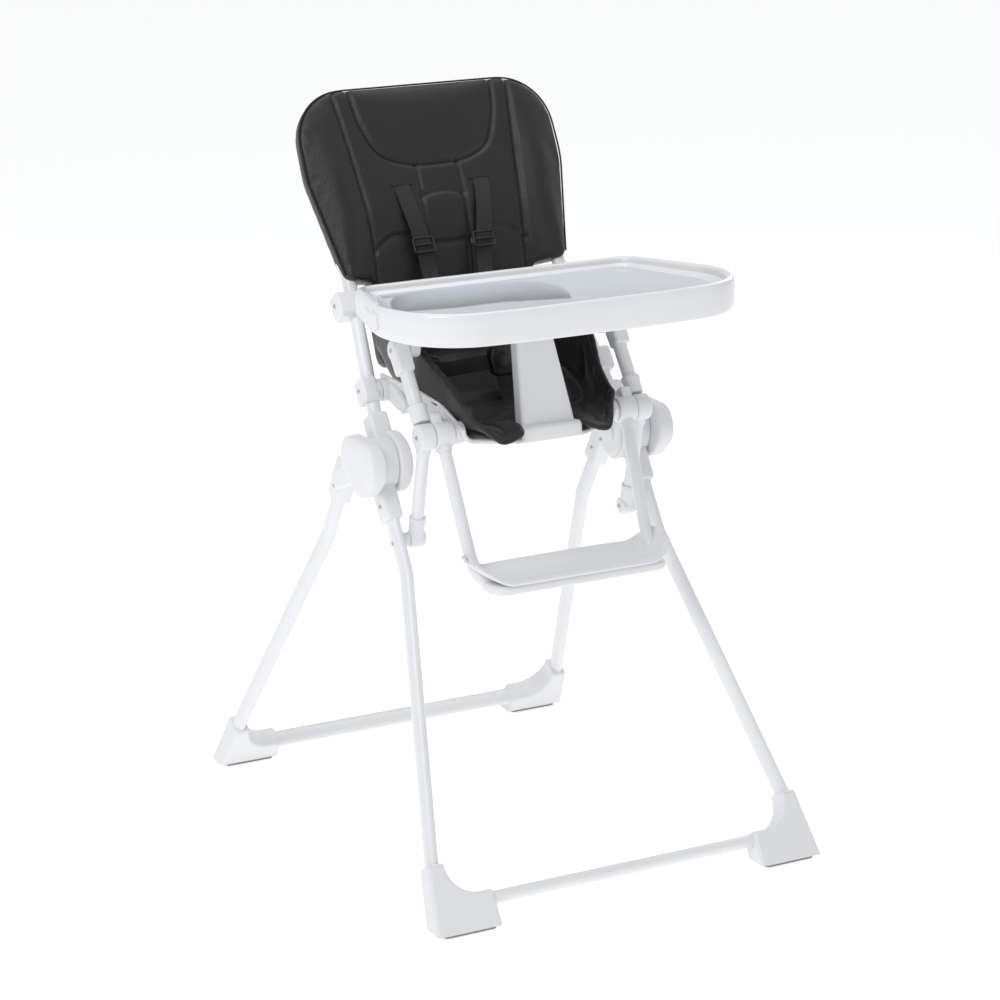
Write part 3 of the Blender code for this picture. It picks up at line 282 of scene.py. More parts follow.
def slab(outline, profile):
    """p(u, v) = outline(u) + inset(v) normal(u), at height(v): a profile carried round an outline."""
    outline = counterclockwise(np.asarray(outline, float))
    profile = np.asarray(profile, float)
    flat = outline[None] + profile[:, 0, None, None] * inward(outline)[None]
    height = np.broadcast_to(profile[:, 1, None, None], (*flat.shape[:2], 1))
    return closed_tube(np.concatenate([flat, height], axis=2))


def placed(part, origin, u_axis, v_axis, w_axis):
    """A part drawn in (u, v, w), moved so that its axes lie along three directions."""
    points, faces = part
    return outward(points @ np.array([u_axis, v_axis, w_axis], float) + np.asarray(origin, float), faces)


def side_slab(outline, low_x, high_x, edge, side, crown=0.0):
    """A slab drawn in the side view, from low_x out to high_x. Crown domes its outer face."""
    profile = fillet(low_x, high_x, edge)
    if crown:
        share = np.linspace(0, 1, 6)[1:]
        dome = np.stack([edge + share * 0.012, high_x + crown * np.sin(share * math.pi / 2)], axis=1)
        profile = np.concatenate([profile, dome])
    return placed(slab(outline, profile), (0, 0, 0), (0, 1, 0), (0, 0, 1), (side, 0, 0))


def disc(centre, radius, low_x, high_x, edge, side, sides=56):
    angle = np.linspace(0, 2 * math.pi, sides, endpoint=False)
    circle = np.stack([centre[0] + radius * np.cos(angle), centre[1] + radius * np.sin(angle)], axis=1)
    return side_slab(circle, low_x, high_x, edge, side)


def bar_loop(start, end, half_start, half_end, radius):
    """A rounded bar in the side view, between two points."""
    start, end = np.asarray(start, float), np.asarray(end, float)
    along = unit(end - start)
    across = np.array([-along[1], along[0]])
    corners = [start - across * half_start, end - across * half_end, end + across * half_end,
               start + across * half_start]
    return rounded_loop([(*corner, radius) for corner in corners])


def screw_head(centre, x, side, radius):
    """A shallow domed head with a six-point recess, standing on a face at x."""
    angle = np.linspace(0, 2 * math.pi, 24, endpoint=False)
    star = radius * 0.42 * (1 + 0.16 * np.cos(6 * angle))
    ring = np.stack([np.full(24, radius), np.full(24, radius), np.full(24, radius * 0.8), star, star * 0.9])
    height = np.array([-0.001, 0.0004, 0.0012, 0.0014, 0.0002])[:, None]
    grid = np.stack([
        np.broadcast_to(side * (x + height), ring.shape),
        centre[0] + ring * np.cos(angle),
        centre[1] + ring * np.sin(angle),
    ], axis=2)
    return closed_tube(grid)


# ---------------------------------------------------------------- objects


def mesh_object(name, parts):
    """One object from several closed shells."""
    points = np.concatenate([part[0] for part in parts])
    start, faces = 0, []
    for part in parts:
        faces += [[start + corner for corner in face] for face in part[1]]
        start += len(part[0])
    mesh = bpy.data.meshes.new(name)
    mesh.from_pydata(points.tolist(), [], faces)
    obj = bpy.data.objects.new(name, mesh)
    bpy.context.scene.collection.objects.link(obj)
    return obj


def shaded(obj, degrees=38):
    obj.data.shade_smooth()
    obj.data.set_sharp_from_angle(angle=math.radians(degrees))
    return obj


def piece(name, parts, finish, body, nodes=(), degrees=38):
    """A finished piece that rides on a body and stands for its nodes."""
    obj = parts if isinstance(parts, bpy.types.Object) else shaded(mesh_object(name, parts), degrees)
    obj.data.materials.clear()
    obj.data.materials.append(finish)
    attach(obj, body)
    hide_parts(*nodes)
    return obj


def add_screws(name, heads, body):
    """Small steel screw heads. Each is (centre, x, side)."""
    radius = bpy.context.scene.chair_sizes.screw
    parts = [screw_head(centre, x, side, radius) for centre, x, side in heads]
    return piece(name, parts, MATERIALS["steel"], body, degrees=25)


# ---------------------------------------------------------------- finishes

MATERIALS = {}


def new_group(name, inputs, outputs):
    """A shader node group with float sockets, and its input and output nodes."""
    group = bpy.data.node_groups.new(name, "ShaderNodeTree")
    for label, value in inputs.items():
        socket = group.interface.new_socket(label, in_out="INPUT", socket_type="NodeSocketFloat")
        socket.default_value = value
    for label in outputs:
        group.interface.new_socket(label, in_out="OUTPUT", socket_type="NodeSocketFloat")
    return group, group.nodes.new("NodeGroupInput"), group.nodes.new("NodeGroupOutput")


def maths(tree, operation, a, b=0.0):
    node = tree.nodes.new("ShaderNodeMath")
    node.operation = operation
    for socket, value in zip(node.inputs, (a, b)):
        if isinstance(value, (int, float)):
            socket.default_value = value
        else:
            tree.links.new(value, socket)
    return node.outputs[0]


def noise(tree, vector, scale, detail=3.0, roughness=0.5):
    node = tree.nodes.new("ShaderNodeTexNoise")
    node.inputs["Detail"].default_value = detail
    node.inputs["Roughness"].default_value = roughness
    tree.links.new(vector, node.inputs["Vector"])
    if isinstance(scale, (int, float)):
        node.inputs["Scale"].default_value = scale
    else:
        tree.links.new(scale, node.inputs["Scale"])
    return node.outputs["Fac"]


def grain_group():
    """Fine grain with slow shifts of gloss, for mouldings, powder coat, rubber and metal."""
    group, given, out = new_group(
        "fine_grain", {"Scale": 900.0, "Gloss spread": 0.08, "Roughness": 0.35},
        ["Height", "Roughness", "Tone"]
    )
    place = group.nodes.new("ShaderNodeTexCoord").outputs["Object"]
    fine = noise(group, place, given.outputs["Scale"], 2.0)
    slow = noise(group, place, 14.0, 4.0, 0.6)
    spread = maths(group, "MULTIPLY", maths(group, "SUBTRACT", slow, 0.5), given.outputs["Gloss spread"])
    group.links.new(fine, out.inputs["Height"])
    group.links.new(maths(group, "ADD", given.outputs["Roughness"], spread), out.inputs["Roughness"])
    group.links.new(slow, out.inputs["Tone"])
    return group


def cloth_group():
    """Coated cloth: small pebbles and soft creases."""
    group, given, out = new_group(
        "coated_cloth", {"Pebble scale": 700.0, "Crease": 0.6, "Roughness": 0.42},
        ["Height", "Roughness", "Tone"]
    )
    place = group.nodes.new("ShaderNodeTexCoord").outputs["Object"]
    pebble = group.nodes.new("ShaderNodeTexVoronoi")
    pebble.feature = "SMOOTH_F1"
    group.links.new(place, pebble.inputs["Vector"])
    group.links.new(given.outputs["Pebble scale"], pebble.inputs["Scale"])
    crease = noise(group, place, 26.0, 5.0, 0.55)
    height = maths(group, "ADD", pebble.outputs["Distance"],
                   maths(group, "MULTIPLY", crease, given.outputs["Crease"]))
    group.links.new(height, out.inputs["Height"])
    gloss = maths(group, "MULTIPLY", maths(group, "SUBTRACT", crease, 0.5), 0.14)
    group.links.new(maths(group, "ADD", given.outputs["Roughness"], gloss), out.inputs["Roughness"])
    # Painted shade: the cloth's colour follows the crease relief, darker in the crease hollows.
    group.links.new(crease, out.inputs["Tone"])
    return group


def weave_group():
    """Webbing in twill: slanted ribs across the strap's own UV map, in which one unit is a metre."""
    group, given, out = new_group("twill_weave", {"Rib": 620.0, "Slant": 0.6}, ["Height", "Tone"])
    place = group.nodes.new("ShaderNodeUVMap")
    place.uv_map = "along"
    parts = group.nodes.new("ShaderNodeSeparateXYZ")
    group.links.new(place.outputs["UV"], parts.inputs[0])
    lean = maths(group, "MULTIPLY", parts.outputs["Y"], given.outputs["Slant"])
    turn = maths(group, "MULTIPLY", maths(group, "ADD", parts.outputs["X"], lean), given.outputs["Rib"])
    rib = maths(group, "SINE", maths(group, "MULTIPLY", turn, 6.2832))
    cross = maths(group, "SINE", maths(group, "MULTIPLY", parts.outputs["Y"], 5200.0))
    height = maths(group, "ADD", maths(group, "MULTIPLY", rib, 0.5), maths(group, "MULTIPLY", cross, 0.3))
    group.links.new(height, out.inputs["Height"])
    # Painted shade and highlight: the colour follows the weave's height, lighter on the ribs and darker in
    # the grooves.
    group.links.new(maths(group, "ADD", maths(group, "MULTIPLY", height, 0.3), 0.5), out.inputs["Tone"])
    return group


def finish_with(name, colour, darker, group, values, bump, bump_distance, **fixed):
    """A material whose colour, gloss and relief come from one group. Fixed values go on the shader itself."""
    material = bpy.data.materials.new(name)
    material.use_nodes = True
    tree = material.node_tree
    shader = tree.nodes["Principled BSDF"]
    effect = tree.nodes.new("ShaderNodeGroup")
    effect.node_tree = group
    for label, value in values.items():
        effect.inputs[label].default_value = value
    # The tone sets the colour between the darker end and the full colour. In the grain group it is random; in
    # the cloth and weave groups it is painted shade that follows the relief.
    ramp = tree.nodes.new("ShaderNodeMix")
    ramp.data_type = "RGBA"
    ramp.inputs[6].default_value = (*[channel * darker for channel in colour], 1)
    ramp.inputs[7].default_value = (*colour, 1)
    tree.links.new(effect.outputs["Tone"], ramp.inputs[0])
    tree.links.new(ramp.outputs[2], shader.inputs["Base Color"])
    if "Roughness" in effect.outputs:
        tree.links.new(effect.outputs["Roughness"], shader.inputs["Roughness"])
    relief = tree.nodes.new("ShaderNodeBump")
    relief.inputs["Strength"].default_value = bump
    relief.inputs["Distance"].default_value = bump_distance
    tree.links.new(effect.outputs["Height"], relief.inputs["Height"])
    tree.links.new(relief.outputs["Normal"], shader.inputs["Normal"])
    for label, value in fixed.items():
        shader.inputs[label.replace("_", " ")].default_value = value
    MATERIALS[name] = material
    return material


class CHAIR_OT_finishes(bpy.types.Operator):
    """Makes the finishes and puts them on the frame's own nodes"""

    bl_idname = "chair.finishes"
    bl_label = "Finishes"

    def execute(self, context):
        colours = context.scene.chair_colours
        grain, cloth, weave = grain_group(), cloth_group(), weave_group()
        finish_with("tube_white", colours.tube, 0.97, grain,
                    {"Scale": 420.0, "Roughness": 0.30, "Gloss spread": 0.06},
                    0.10, 0.0004, Coat_Weight=0.25, Coat_Roughness=0.2)
        finish_with("plastic_white", colours.plastic, 0.97, grain, {"Scale": 1100.0, "Roughness": 0.38},
                    0.12, 0.0003)
        finish_with("tray_white", colours.plastic, 0.98, grain,
                    {"Scale": 700.0, "Roughness": 0.22, "Gloss spread": 0.05},
                    0.05, 0.0003, Coat_Weight=0.35, Coat_Roughness=0.12)
        finish_with("insert_blue", colours.insert, 0.96, grain,
                    {"Scale": 300.0, "Roughness": 0.12, "Gloss spread": 0.04},
                    0.03, 0.0003, Coat_Weight=0.6, Coat_Roughness=0.05)
        # Pads and piping: the darker end of the colour is painted shade in the crease hollows.
        finish_with("vinyl_black", colours.cloth, 0.72, cloth, {}, 0.35, 0.0012, Sheen_Weight=0.18,
                    Sheen_Roughness=0.4)
        finish_with("piping_black", colours.cloth, 0.8, cloth, {"Pebble scale": 1200.0, "Roughness": 0.5},
                    0.2, 0.0006)
        # Webbing: the darker end of the colour is painted shade in the weave's grooves.
        finish_with("webbing_black", colours.webbing, 0.55, weave, {}, 0.6, 0.0004, Roughness=0.72,
                    Sheen_Weight=0.25)
        finish_with("buckle_black", colours.webbing, 0.85, grain, {"Scale": 800.0, "Roughness": 0.34}, 0.12,
                    0.0003)
        finish_with("rubber_grey", colours.rubber, 0.85, grain, {"Scale": 500.0, "Roughness": 0.75}, 0.4,
                    0.0006)
        finish_with("steel", (0.55, 0.56, 0.58), 0.9, grain, {"Scale": 1500.0, "Roughness": 0.28}, 0.1,
                    0.0002, Metallic=1.0)
        for node in frame["nodes"].values():
            for place in node.material_slots:
                place.material = MATERIALS.get(place.material.name.split(".")[0],
                                               MATERIALS["plastic_white"])
        return {"FINISHED"}


# ---------------------------------------------------------------- leg frames


def leg_line(leg):
    """Ground point, top point and direction of a leg's side line."""
    ground = np.array([leg["facing"] * LEG_REACH, 0.0])
    top = HUB + np.array([leg["offset"], 0.0])
    return ground, top, unit(top - ground)


def leg_at(leg, height):
    ground, top, _ = leg_line(leg)
    return ground + (top - ground) * height / top[1]


def leg_path(leg, drop):
    """The bent U of a leg frame, starting a little below the hub on each side."""
    _, top, along = leg_line(leg)
    half = [(leg["tube_x"], *(top - along * drop)), (leg["tube_x"], *leg_at(leg, LEG_BEND_HEIGHT)),
            (LEG_FOOT_X, *leg_at(leg, FLOOR_BAR_HEIGHT))]
    corners = half + [(-x, y, z) for x, y, z in reversed(half)]
    return rounded_path(corners, [0.09, 0.045, 0.045, 0.09])


def leg_normal(leg):
    along = leg_line(leg)[2]
    return np.array([0, along[1], -along[0]])


class CHAIR_OT_leg_frames(bpy.types.Operator):
    """Bends the two oval leg tubes"""

    bl_idname = "chair.leg_frames"
    bl_label = "Leg frames"

    def execute(self, context):
        for place, leg in LEGS.items():
            bar = swept(leg_path(leg, 0.045), leg_normal(leg), LEG_HALF[0], LEG_HALF[1], 40)
            piece(f"{place}_leg_tube", [bar], MATERIALS["tube_white"], f"{place}_legs",
                  [f"{place}_leg_frame"])
        return {"FINISHED"}


def foot_cap_outline():
    """An L with a hollow inner curve, in (distance from the middle, distance up the leg)."""
    outer, shaft, top, length = 0.2985, 0.0235, 0.058, 0.096
    slope = (LEG_FOOT_X - 0.204) / (LEG_BEND_HEIGHT - FLOOR_BAR_HEIGHT)
    inner = outer - slope * top - shaft
    under = 0.0105
    radius = 0.043
    turn = np.radians(np.linspace(-4, -86, 16))
    hollow = np.stack([inner - radius + radius * np.cos(turn), under + radius + radius * np.sin(turn)],
                      axis=1)
    upper = [(outer - slope * top, top - 0.002), (outer - slope * top - 0.003, top), (inner + 0.003, top),
             (inner, top - 0.002)]
    lower = [(outer - length + 0.004, under + 0.0005), (outer - length, under - 0.004),
             (outer - length, -0.06), (outer - 0.004, -0.06), (outer, -0.052)]
    return np.concatenate([upper, hollow, lower])


class CHAIR_OT_feet(bpy.types.Operator):
    """Corner caps with a hollow inner curve, and their rubber soles"""

    bl_idname = "chair.feet"
    bl_label = "Feet"

    def execute(self, context):
        for place, leg in LEGS.items():
            along = leg_line(leg)[2]
            bar = leg_at(leg, FLOOR_BAR_HEIGHT)
            caps, soles = [], []
            for side in SIDES.values():
                shell = slab(foot_cap_outline(), fillet(-0.018, 0.018, 0.005))
                cap = placed(shell, (0, *bar), (side, 0, 0), (0, *along), (0, along[1], -along[0]))
                points = cap[0]
                sunk = np.maximum(SOLE_HEIGHT + 0.0005 - points[:, 2], 0)[:, None] / along[1]
                caps.append((points + sunk * np.array([0, *along]), cap[1]))
                low, high = (
                    np.array(corner)
                    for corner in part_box(f"{place}_foot_pad_{'left' if side > 0 else 'right'}"))
                middle, half = (low + high) / 2, (high - low) / 2
                outline = rounded_loop([(middle[0] + a * half[0], middle[1] + b * half[1], 0.005)
                                        for a, b in ((1, -1), (1, 1), (-1, 1), (-1, -1))])
                soles.append(slab(outline, fillet(0.0, SOLE_HEIGHT + 0.001, 0.0012)))
            names = [f"{place}_foot_cap_{hand}" for hand in SIDES]
            piece(f"{place}_corner_caps", caps, MATERIALS["plastic_white"], f"{place}_legs", names)
            names = [f"{place}_foot_pad_{hand}" for hand in SIDES]
            piece(f"{place}_soles", soles, MATERIALS["rubber_grey"], f"{place}_legs", names)
        return {"FINISHED"}


# ---------------------------------------------------------------- hubs


def cover_outline():
    """A rounded five-sided plate round the hub axis, broad on top and narrowing downwards."""
    corners = [(-0.052, 0.0385, 0.030), (0.040, 0.0415, 0.030), (0.052, -0.006, 0.020),
               (-0.018, -0.052, 0.034),
               (-0.068, -0.004, 0.030)]
    return rounded_loop([(HUB[0] + y, HUB[1] + z, radius) for y, z, radius in corners], 10)


class CHAIR_OT_hubs(bpy.types.Operator):
    """The fold hubs: outer cover, middle disc, inner disc and button on each side"""

    bl_idname = "chair.hubs"
    bl_label = "Hubs"

    def execute(self, context):
        white = MATERIALS["plastic_white"]
        for hand, side in SIDES.items():
            near, far, _ = node_x(f"rear_leg_hub_{hand}")
            leg = LEGS["rear"]
            _, top, along = leg_line(leg)
            start, end = top + along * leg["socket"][0], top + along * leg["socket"][1]
            cover_x = 0.2140
            cover = [side_slab(cover_outline(), cover_x, far - 0.0022, 0.0055, side, 0.0018)]
            socket_x = leg["tube_x"] - 0.0125, leg["tube_x"] + 0.0125
            cover.append(side_slab(bar_loop(start, end, 0.0165, 0.0168, 0.006), *socket_x, 0.005, side))
            cover.append(side_slab(bar_loop(HUB + unit(start - HUB) * 0.018, (start + end) / 2, 0.020,
                                            0.014, 0.008),
                                   cover_x + 0.0005, cover_x + 0.012, 0.004, side))
            piece(f"hub_cover_{hand}", cover, white, "rear_legs", [f"rear_leg_hub_{hand}"])
            add_screws(f"rear_socket_screw_{hand}",
                       [(start + (end - start) * 0.62, socket_x[1], side),
                        (start + (end - start) * 0.62, -socket_x[0], -side)], "rear_legs")

            leg = LEGS["front"]
            _, top, along = leg_line(leg)
            start, end = top + along * leg["socket"][0], top + along * leg["socket"][1]
            middle = [disc(HUB, 0.0365, 0.1845, 0.2134, 0.0012, side)]
            socket_x = leg["tube_x"] - 0.0122, leg["tube_x"] + 0.0122
            middle.append(side_slab(bar_loop(start, end, 0.0185, 0.0172, 0.006), *socket_x, 0.005, side))
            piece(f"hub_middle_{hand}", middle, white, "front_legs", [f"front_leg_hub_{hand}"])
            add_screws(f"front_socket_screw_{hand}",
                       [(start + (end - start) * 0.72, socket_x[1], side),
                        (start + (end - start) * 0.72, -socket_x[0], -side)], "front_legs")

            near, far, _ = node_x(f"back_hub_{hand}")
            lean = np.array([math.sin(BACK_LEAN), math.cos(BACK_LEAN)])
            inner = [disc(HUB, 0.043, near + 0.004, 0.184, 0.0035, side),
                     disc(HUB, 0.037, near, 0.180, 0.003, side)]
            inner.append(side_slab(bar_loop(HUB + lean * 0.030, HUB + lean * 0.072, 0.0155, 0.0155, 0.005),
                                   0.1718, 0.2012, 0.005, side))
            piece(f"hub_inner_{hand}", inner, white, "back_frame", [f"back_hub_{hand}", f"hub_axle_{hand}"])
            bolts = [(HUB + 0.029 * np.array([math.cos(a), math.sin(a)]), -near, -side) for a in (2.5, 5.6)]
            add_screws(f"hub_bolts_{hand}", bolts, "back_frame")

            near, far, _ = node_x(f"hub_button_{hand}")
            button = [disc(HUB, 0.016, near, far, 0.0022, side),
                      disc(HUB, 0.0105, near - 0.0006, far, 0.0006, side)]
            piece(f"fold_button_{hand}", button, white, f"hub_button_{hand}", [f"hub_button_{hand}"])
        return {"FINISHED"}


# ---------------------------------------------------------------- back frame and blocks


def back_point(up, forward):
    """Side view points at a distance up the upper back from the waist, and in front of the tube."""
    up, forward = np.asarray(up, float)[..., None], np.asarray(forward, float)[..., None]
    return WAIST + BACK_UP * up + BACK_FORWARD * forward


def back_path():
    lean = np.array([math.sin(BACK_LEAN), math.cos(BACK_LEAN)])
    top = CAD_BOX[1][2] - 0.010 - WAIST_HEIGHT
    half = [(0.188, *(HUB + lean * 0.0405)), (0.1665, *WAIST),
            (0.187, *back_point(0.135 / math.cos(UPPER_LEAN), 0)),
            (0.187, *back_point(top / math.cos(UPPER_LEAN), 0))]
    corners = half + [(-x, y, z) for x, y, z in reversed(half)]
    return rounded_path(corners, [0.12, 0.12, 0.062, 0.062, 0.12, 0.12])


class CHAIR_OT_back_frame(bpy.types.Operator):
    """The back tube, and the blocks that clamp round it"""

    bl_idname = "chair.back_frame"
    bl_label = "Back frame"

    def execute(self, context):
        forward = np.array([0, *BACK_FORWARD])
        bar = swept(back_path(), forward, 0.010, 0.010)
        piece("back_bow", [bar], MATERIALS["tube_white"], "back_frame", ["back_tube"])
        lean = np.array([math.sin(BACK_LEAN), math.cos(BACK_LEAN)])
        for hand, side in SIDES.items():
            for name, centre, half in (("seat_block", SEAT_PIVOT, 0.0185),
                                       ("arm_block", ARM_PIVOT, 0.0185)):
                near, far, _ = node_x(f"{name}_{hand}")
                inner = 0.1685 if name == "seat_block" else 0.1572
                block = [side_slab(bar_loop(centre - lean * half, centre + lean * half, 0.0165, 0.0165,
                                            0.006),
                                   inner + 0.006, far, 0.0045, side)]
                block.append(disc(centre, 0.0160, inner, inner + 0.012, 0.0015, side))
                block.append(disc(centre, 0.0060, near, inner + 0.004, 0.0005, side, 32))
                piece(f"{name}_cover_{hand}", block, MATERIALS["plastic_white"], "back_frame",
                      [f"{name}_{hand}"])
                add_screws(f"{name}_screw_{hand}", [(centre + lean * 0.002, far, side)], "back_frame")
        return {"FINISHED"}


# ---------------------------------------------------------------- seat shell and crotch post


def seat_section(y):
    """Half width, floor height and rim height of the seat shell at each y."""
    stations = np.array([(-0.192, 0.120, 0.602, 0.622), (-0.120, 0.1265, 0.606, 0.650),
                         (-0.085, 0.138, 0.612, 0.658),
                         (-0.040, 0.150, 0.622, 0.665), (0.018, 0.158, 0.636, 0.671)])
    return [np.interp(y, stations[:, 0], stations[:, column]) for column in (1, 2, 3)]


def trough(y, half, floor, rim, radius, across):
    """A U across the seat by length along it: flat floor, quarter rounds and upright walls."""
    wall = np.maximum(rim - floor - radius, 0.001)
    flat = half - radius
    length = flat + radius * math.pi / 2 + wall
    along = np.abs(across) * length
    turn = np.clip((along - flat) / radius, 0, math.pi / 2)
    x = np.minimum(along, flat) + radius * np.sin(turn)
    z = floor + radius * (1 - np.cos(turn)) + np.clip(along - flat - radius * math.pi / 2, 0, None)
    return np.stack([np.sign(across) * x, np.broadcast_to(y, x.shape), z], axis=-1)


def rim(rows):
    """The border of a grid, in order round it."""
    return np.concatenate([rows[0, :], rows[1:, -1], rows[-1, -2::-1], rows[-2:0:-1, 0]])


def thick_sheet(grid, thickness, edge_steps=4):
    """A closed sheet: the grid, the same grid moved along its normals, and a round rim between them."""
    down = np.gradient(grid, axis=0)
    right = np.gradient(grid, axis=1)
    normal = unit(np.cross(right, down))
    layers = [grid - normal * thickness / 2, grid + normal * thickness / 2]
    rows, columns = grid.shape[:2]
    middle = rim(grid)
    inner = rim(np.pad(grid[1:-1, 1:-1], ((1, 1), (1, 1), (0, 0)), mode="edge"))
    out = unit(middle - inner)
    lift = rim(normal)
    turn = np.linspace(-math.pi / 2, math.pi / 2, edge_steps + 2)[1:-1]
    rings = [middle + thickness / 2 * (out * math.cos(a) * 0.9 + lift * math.sin(a)) for a in turn]
    points = np.concatenate([layers[0].reshape(-1, 3), layers[1].reshape(-1, 3), *rings])
    count = rows * columns
    number = np.arange(count).reshape(rows, columns)
    loop = rim(number[..., None])[:, 0]
    faces = [face[::-1] for face in grid_faces(rows, columns, False)]
    faces += [[corner + count for corner in face] for face in grid_faces(rows, columns, False)]
    edge = len(loop)
    chain = [loop] + [2 * count + k * edge + np.arange(edge) for k in range(edge_steps)] + [loop + count]
    for low, high in zip(chain, chain[1:]):
        quads = np.stack([low, np.roll(low, -1), np.roll(high, -1), high], axis=1)
        faces += quads.tolist()
    return outward(points, faces)


class CHAIR_OT_seat_shell(bpy.types.Operator):
    """The moulded seat shell with its bosses, front rail and crotch post"""

    bl_idname = "chair.seat_shell"
    bl_label = "Seat shell"

    def execute(self, context):
        along = np.linspace(0, 1, 60)[:, None]
        across = np.linspace(-1, 1, 81)[None, :]
        y = 0.018 + (-0.198 - 0.018) * along
        half, floor, top = seat_section(y)
        grid = trough(y, half - 0.0015, floor + 0.0015, top, 0.018, across)
        tongue = 0.034 * np.clip((np.abs(grid[..., 0]) - 0.050) / 0.05, 0, 1) * along
        grid[..., 1] += tongue
        parts = [thick_sheet(grid, 0.0034)]
        for side in (1, -1):
            line = np.array([side * (half[:, 0] - 0.0015), grid[:, -1, 1], top[:, 0]]).T
            parts.append(swept(line, (0.0, 0.3, 1.0), 0.0034, 0.0034, 16))
        front = grid[-1]
        parts.append(swept(resampled(front, 70), (0.0, 1.0, 0.2), 0.0036, 0.0036, 16))
        for side in SIDES.values():
            parts.append(disc(SEAT_PIVOT, 0.0165, 0.1515, 0.168, 0.0015, side))
            parts.append(side_slab(bar_loop(SEAT_PIVOT, SEAT_PIVOT + np.array([-0.060, -0.018]), 0.0145,
                                            0.010, 0.008),
                                   0.1500, 0.1590, 0.003, side))
            parts.append(disc(KNUCKLE, 0.0155, 0.112, 0.128, 0.0015, side))
            parts.append(disc(KNUCKLE, 0.0045, 0.120, 0.177, 0.0005, side, 32))
            parts.append(side_slab(bar_loop(KNUCKLE + np.array([0.004, 0]),
                                            KNUCKLE + np.array([0.07, 0.014]), 0.010, 0.006, 0.005),
                                   0.1255, 0.1325, 0.002, side))
        piece("seat_moulding", parts, MATERIALS["plastic_white"], "seat", ["seat_shell"])

        low, high = np.array([-0.197, 0.604]), np.array([-0.153, 0.749])
        up = unit(high - low)
        length = np.linalg.norm(high - low)
        post = rounded_loop([(0.043, 0.0, 0.006), (0.027, length, 0.014), (-0.027, length, 0.014),
                             (-0.043, 0.0, 0.006)], 10)
        post = resampled(post, 160, closed=True)
        blade = placed(slab(post, fillet(-0.026, 0.0, 0.0055, 7)), (0, *low), (1, 0, 0), (0, *up),
                       (0, -up[1], up[0]))
        sill = slab(rounded_loop([(0.047, -0.2030, 0.006), (0.047, -0.165, 0.006), (-0.047, -0.165, 0.006),
                                  (-0.047, -0.2030, 0.006)]),
                    fillet(0.600, 0.6225, 0.005))
        piece("crotch_guard", [blade, sill], MATERIALS["plastic_white"], "seat", ["crotch_post"])
        return {"FINISHED"}


# ---------------------------------------------------------------- footrest frame and links


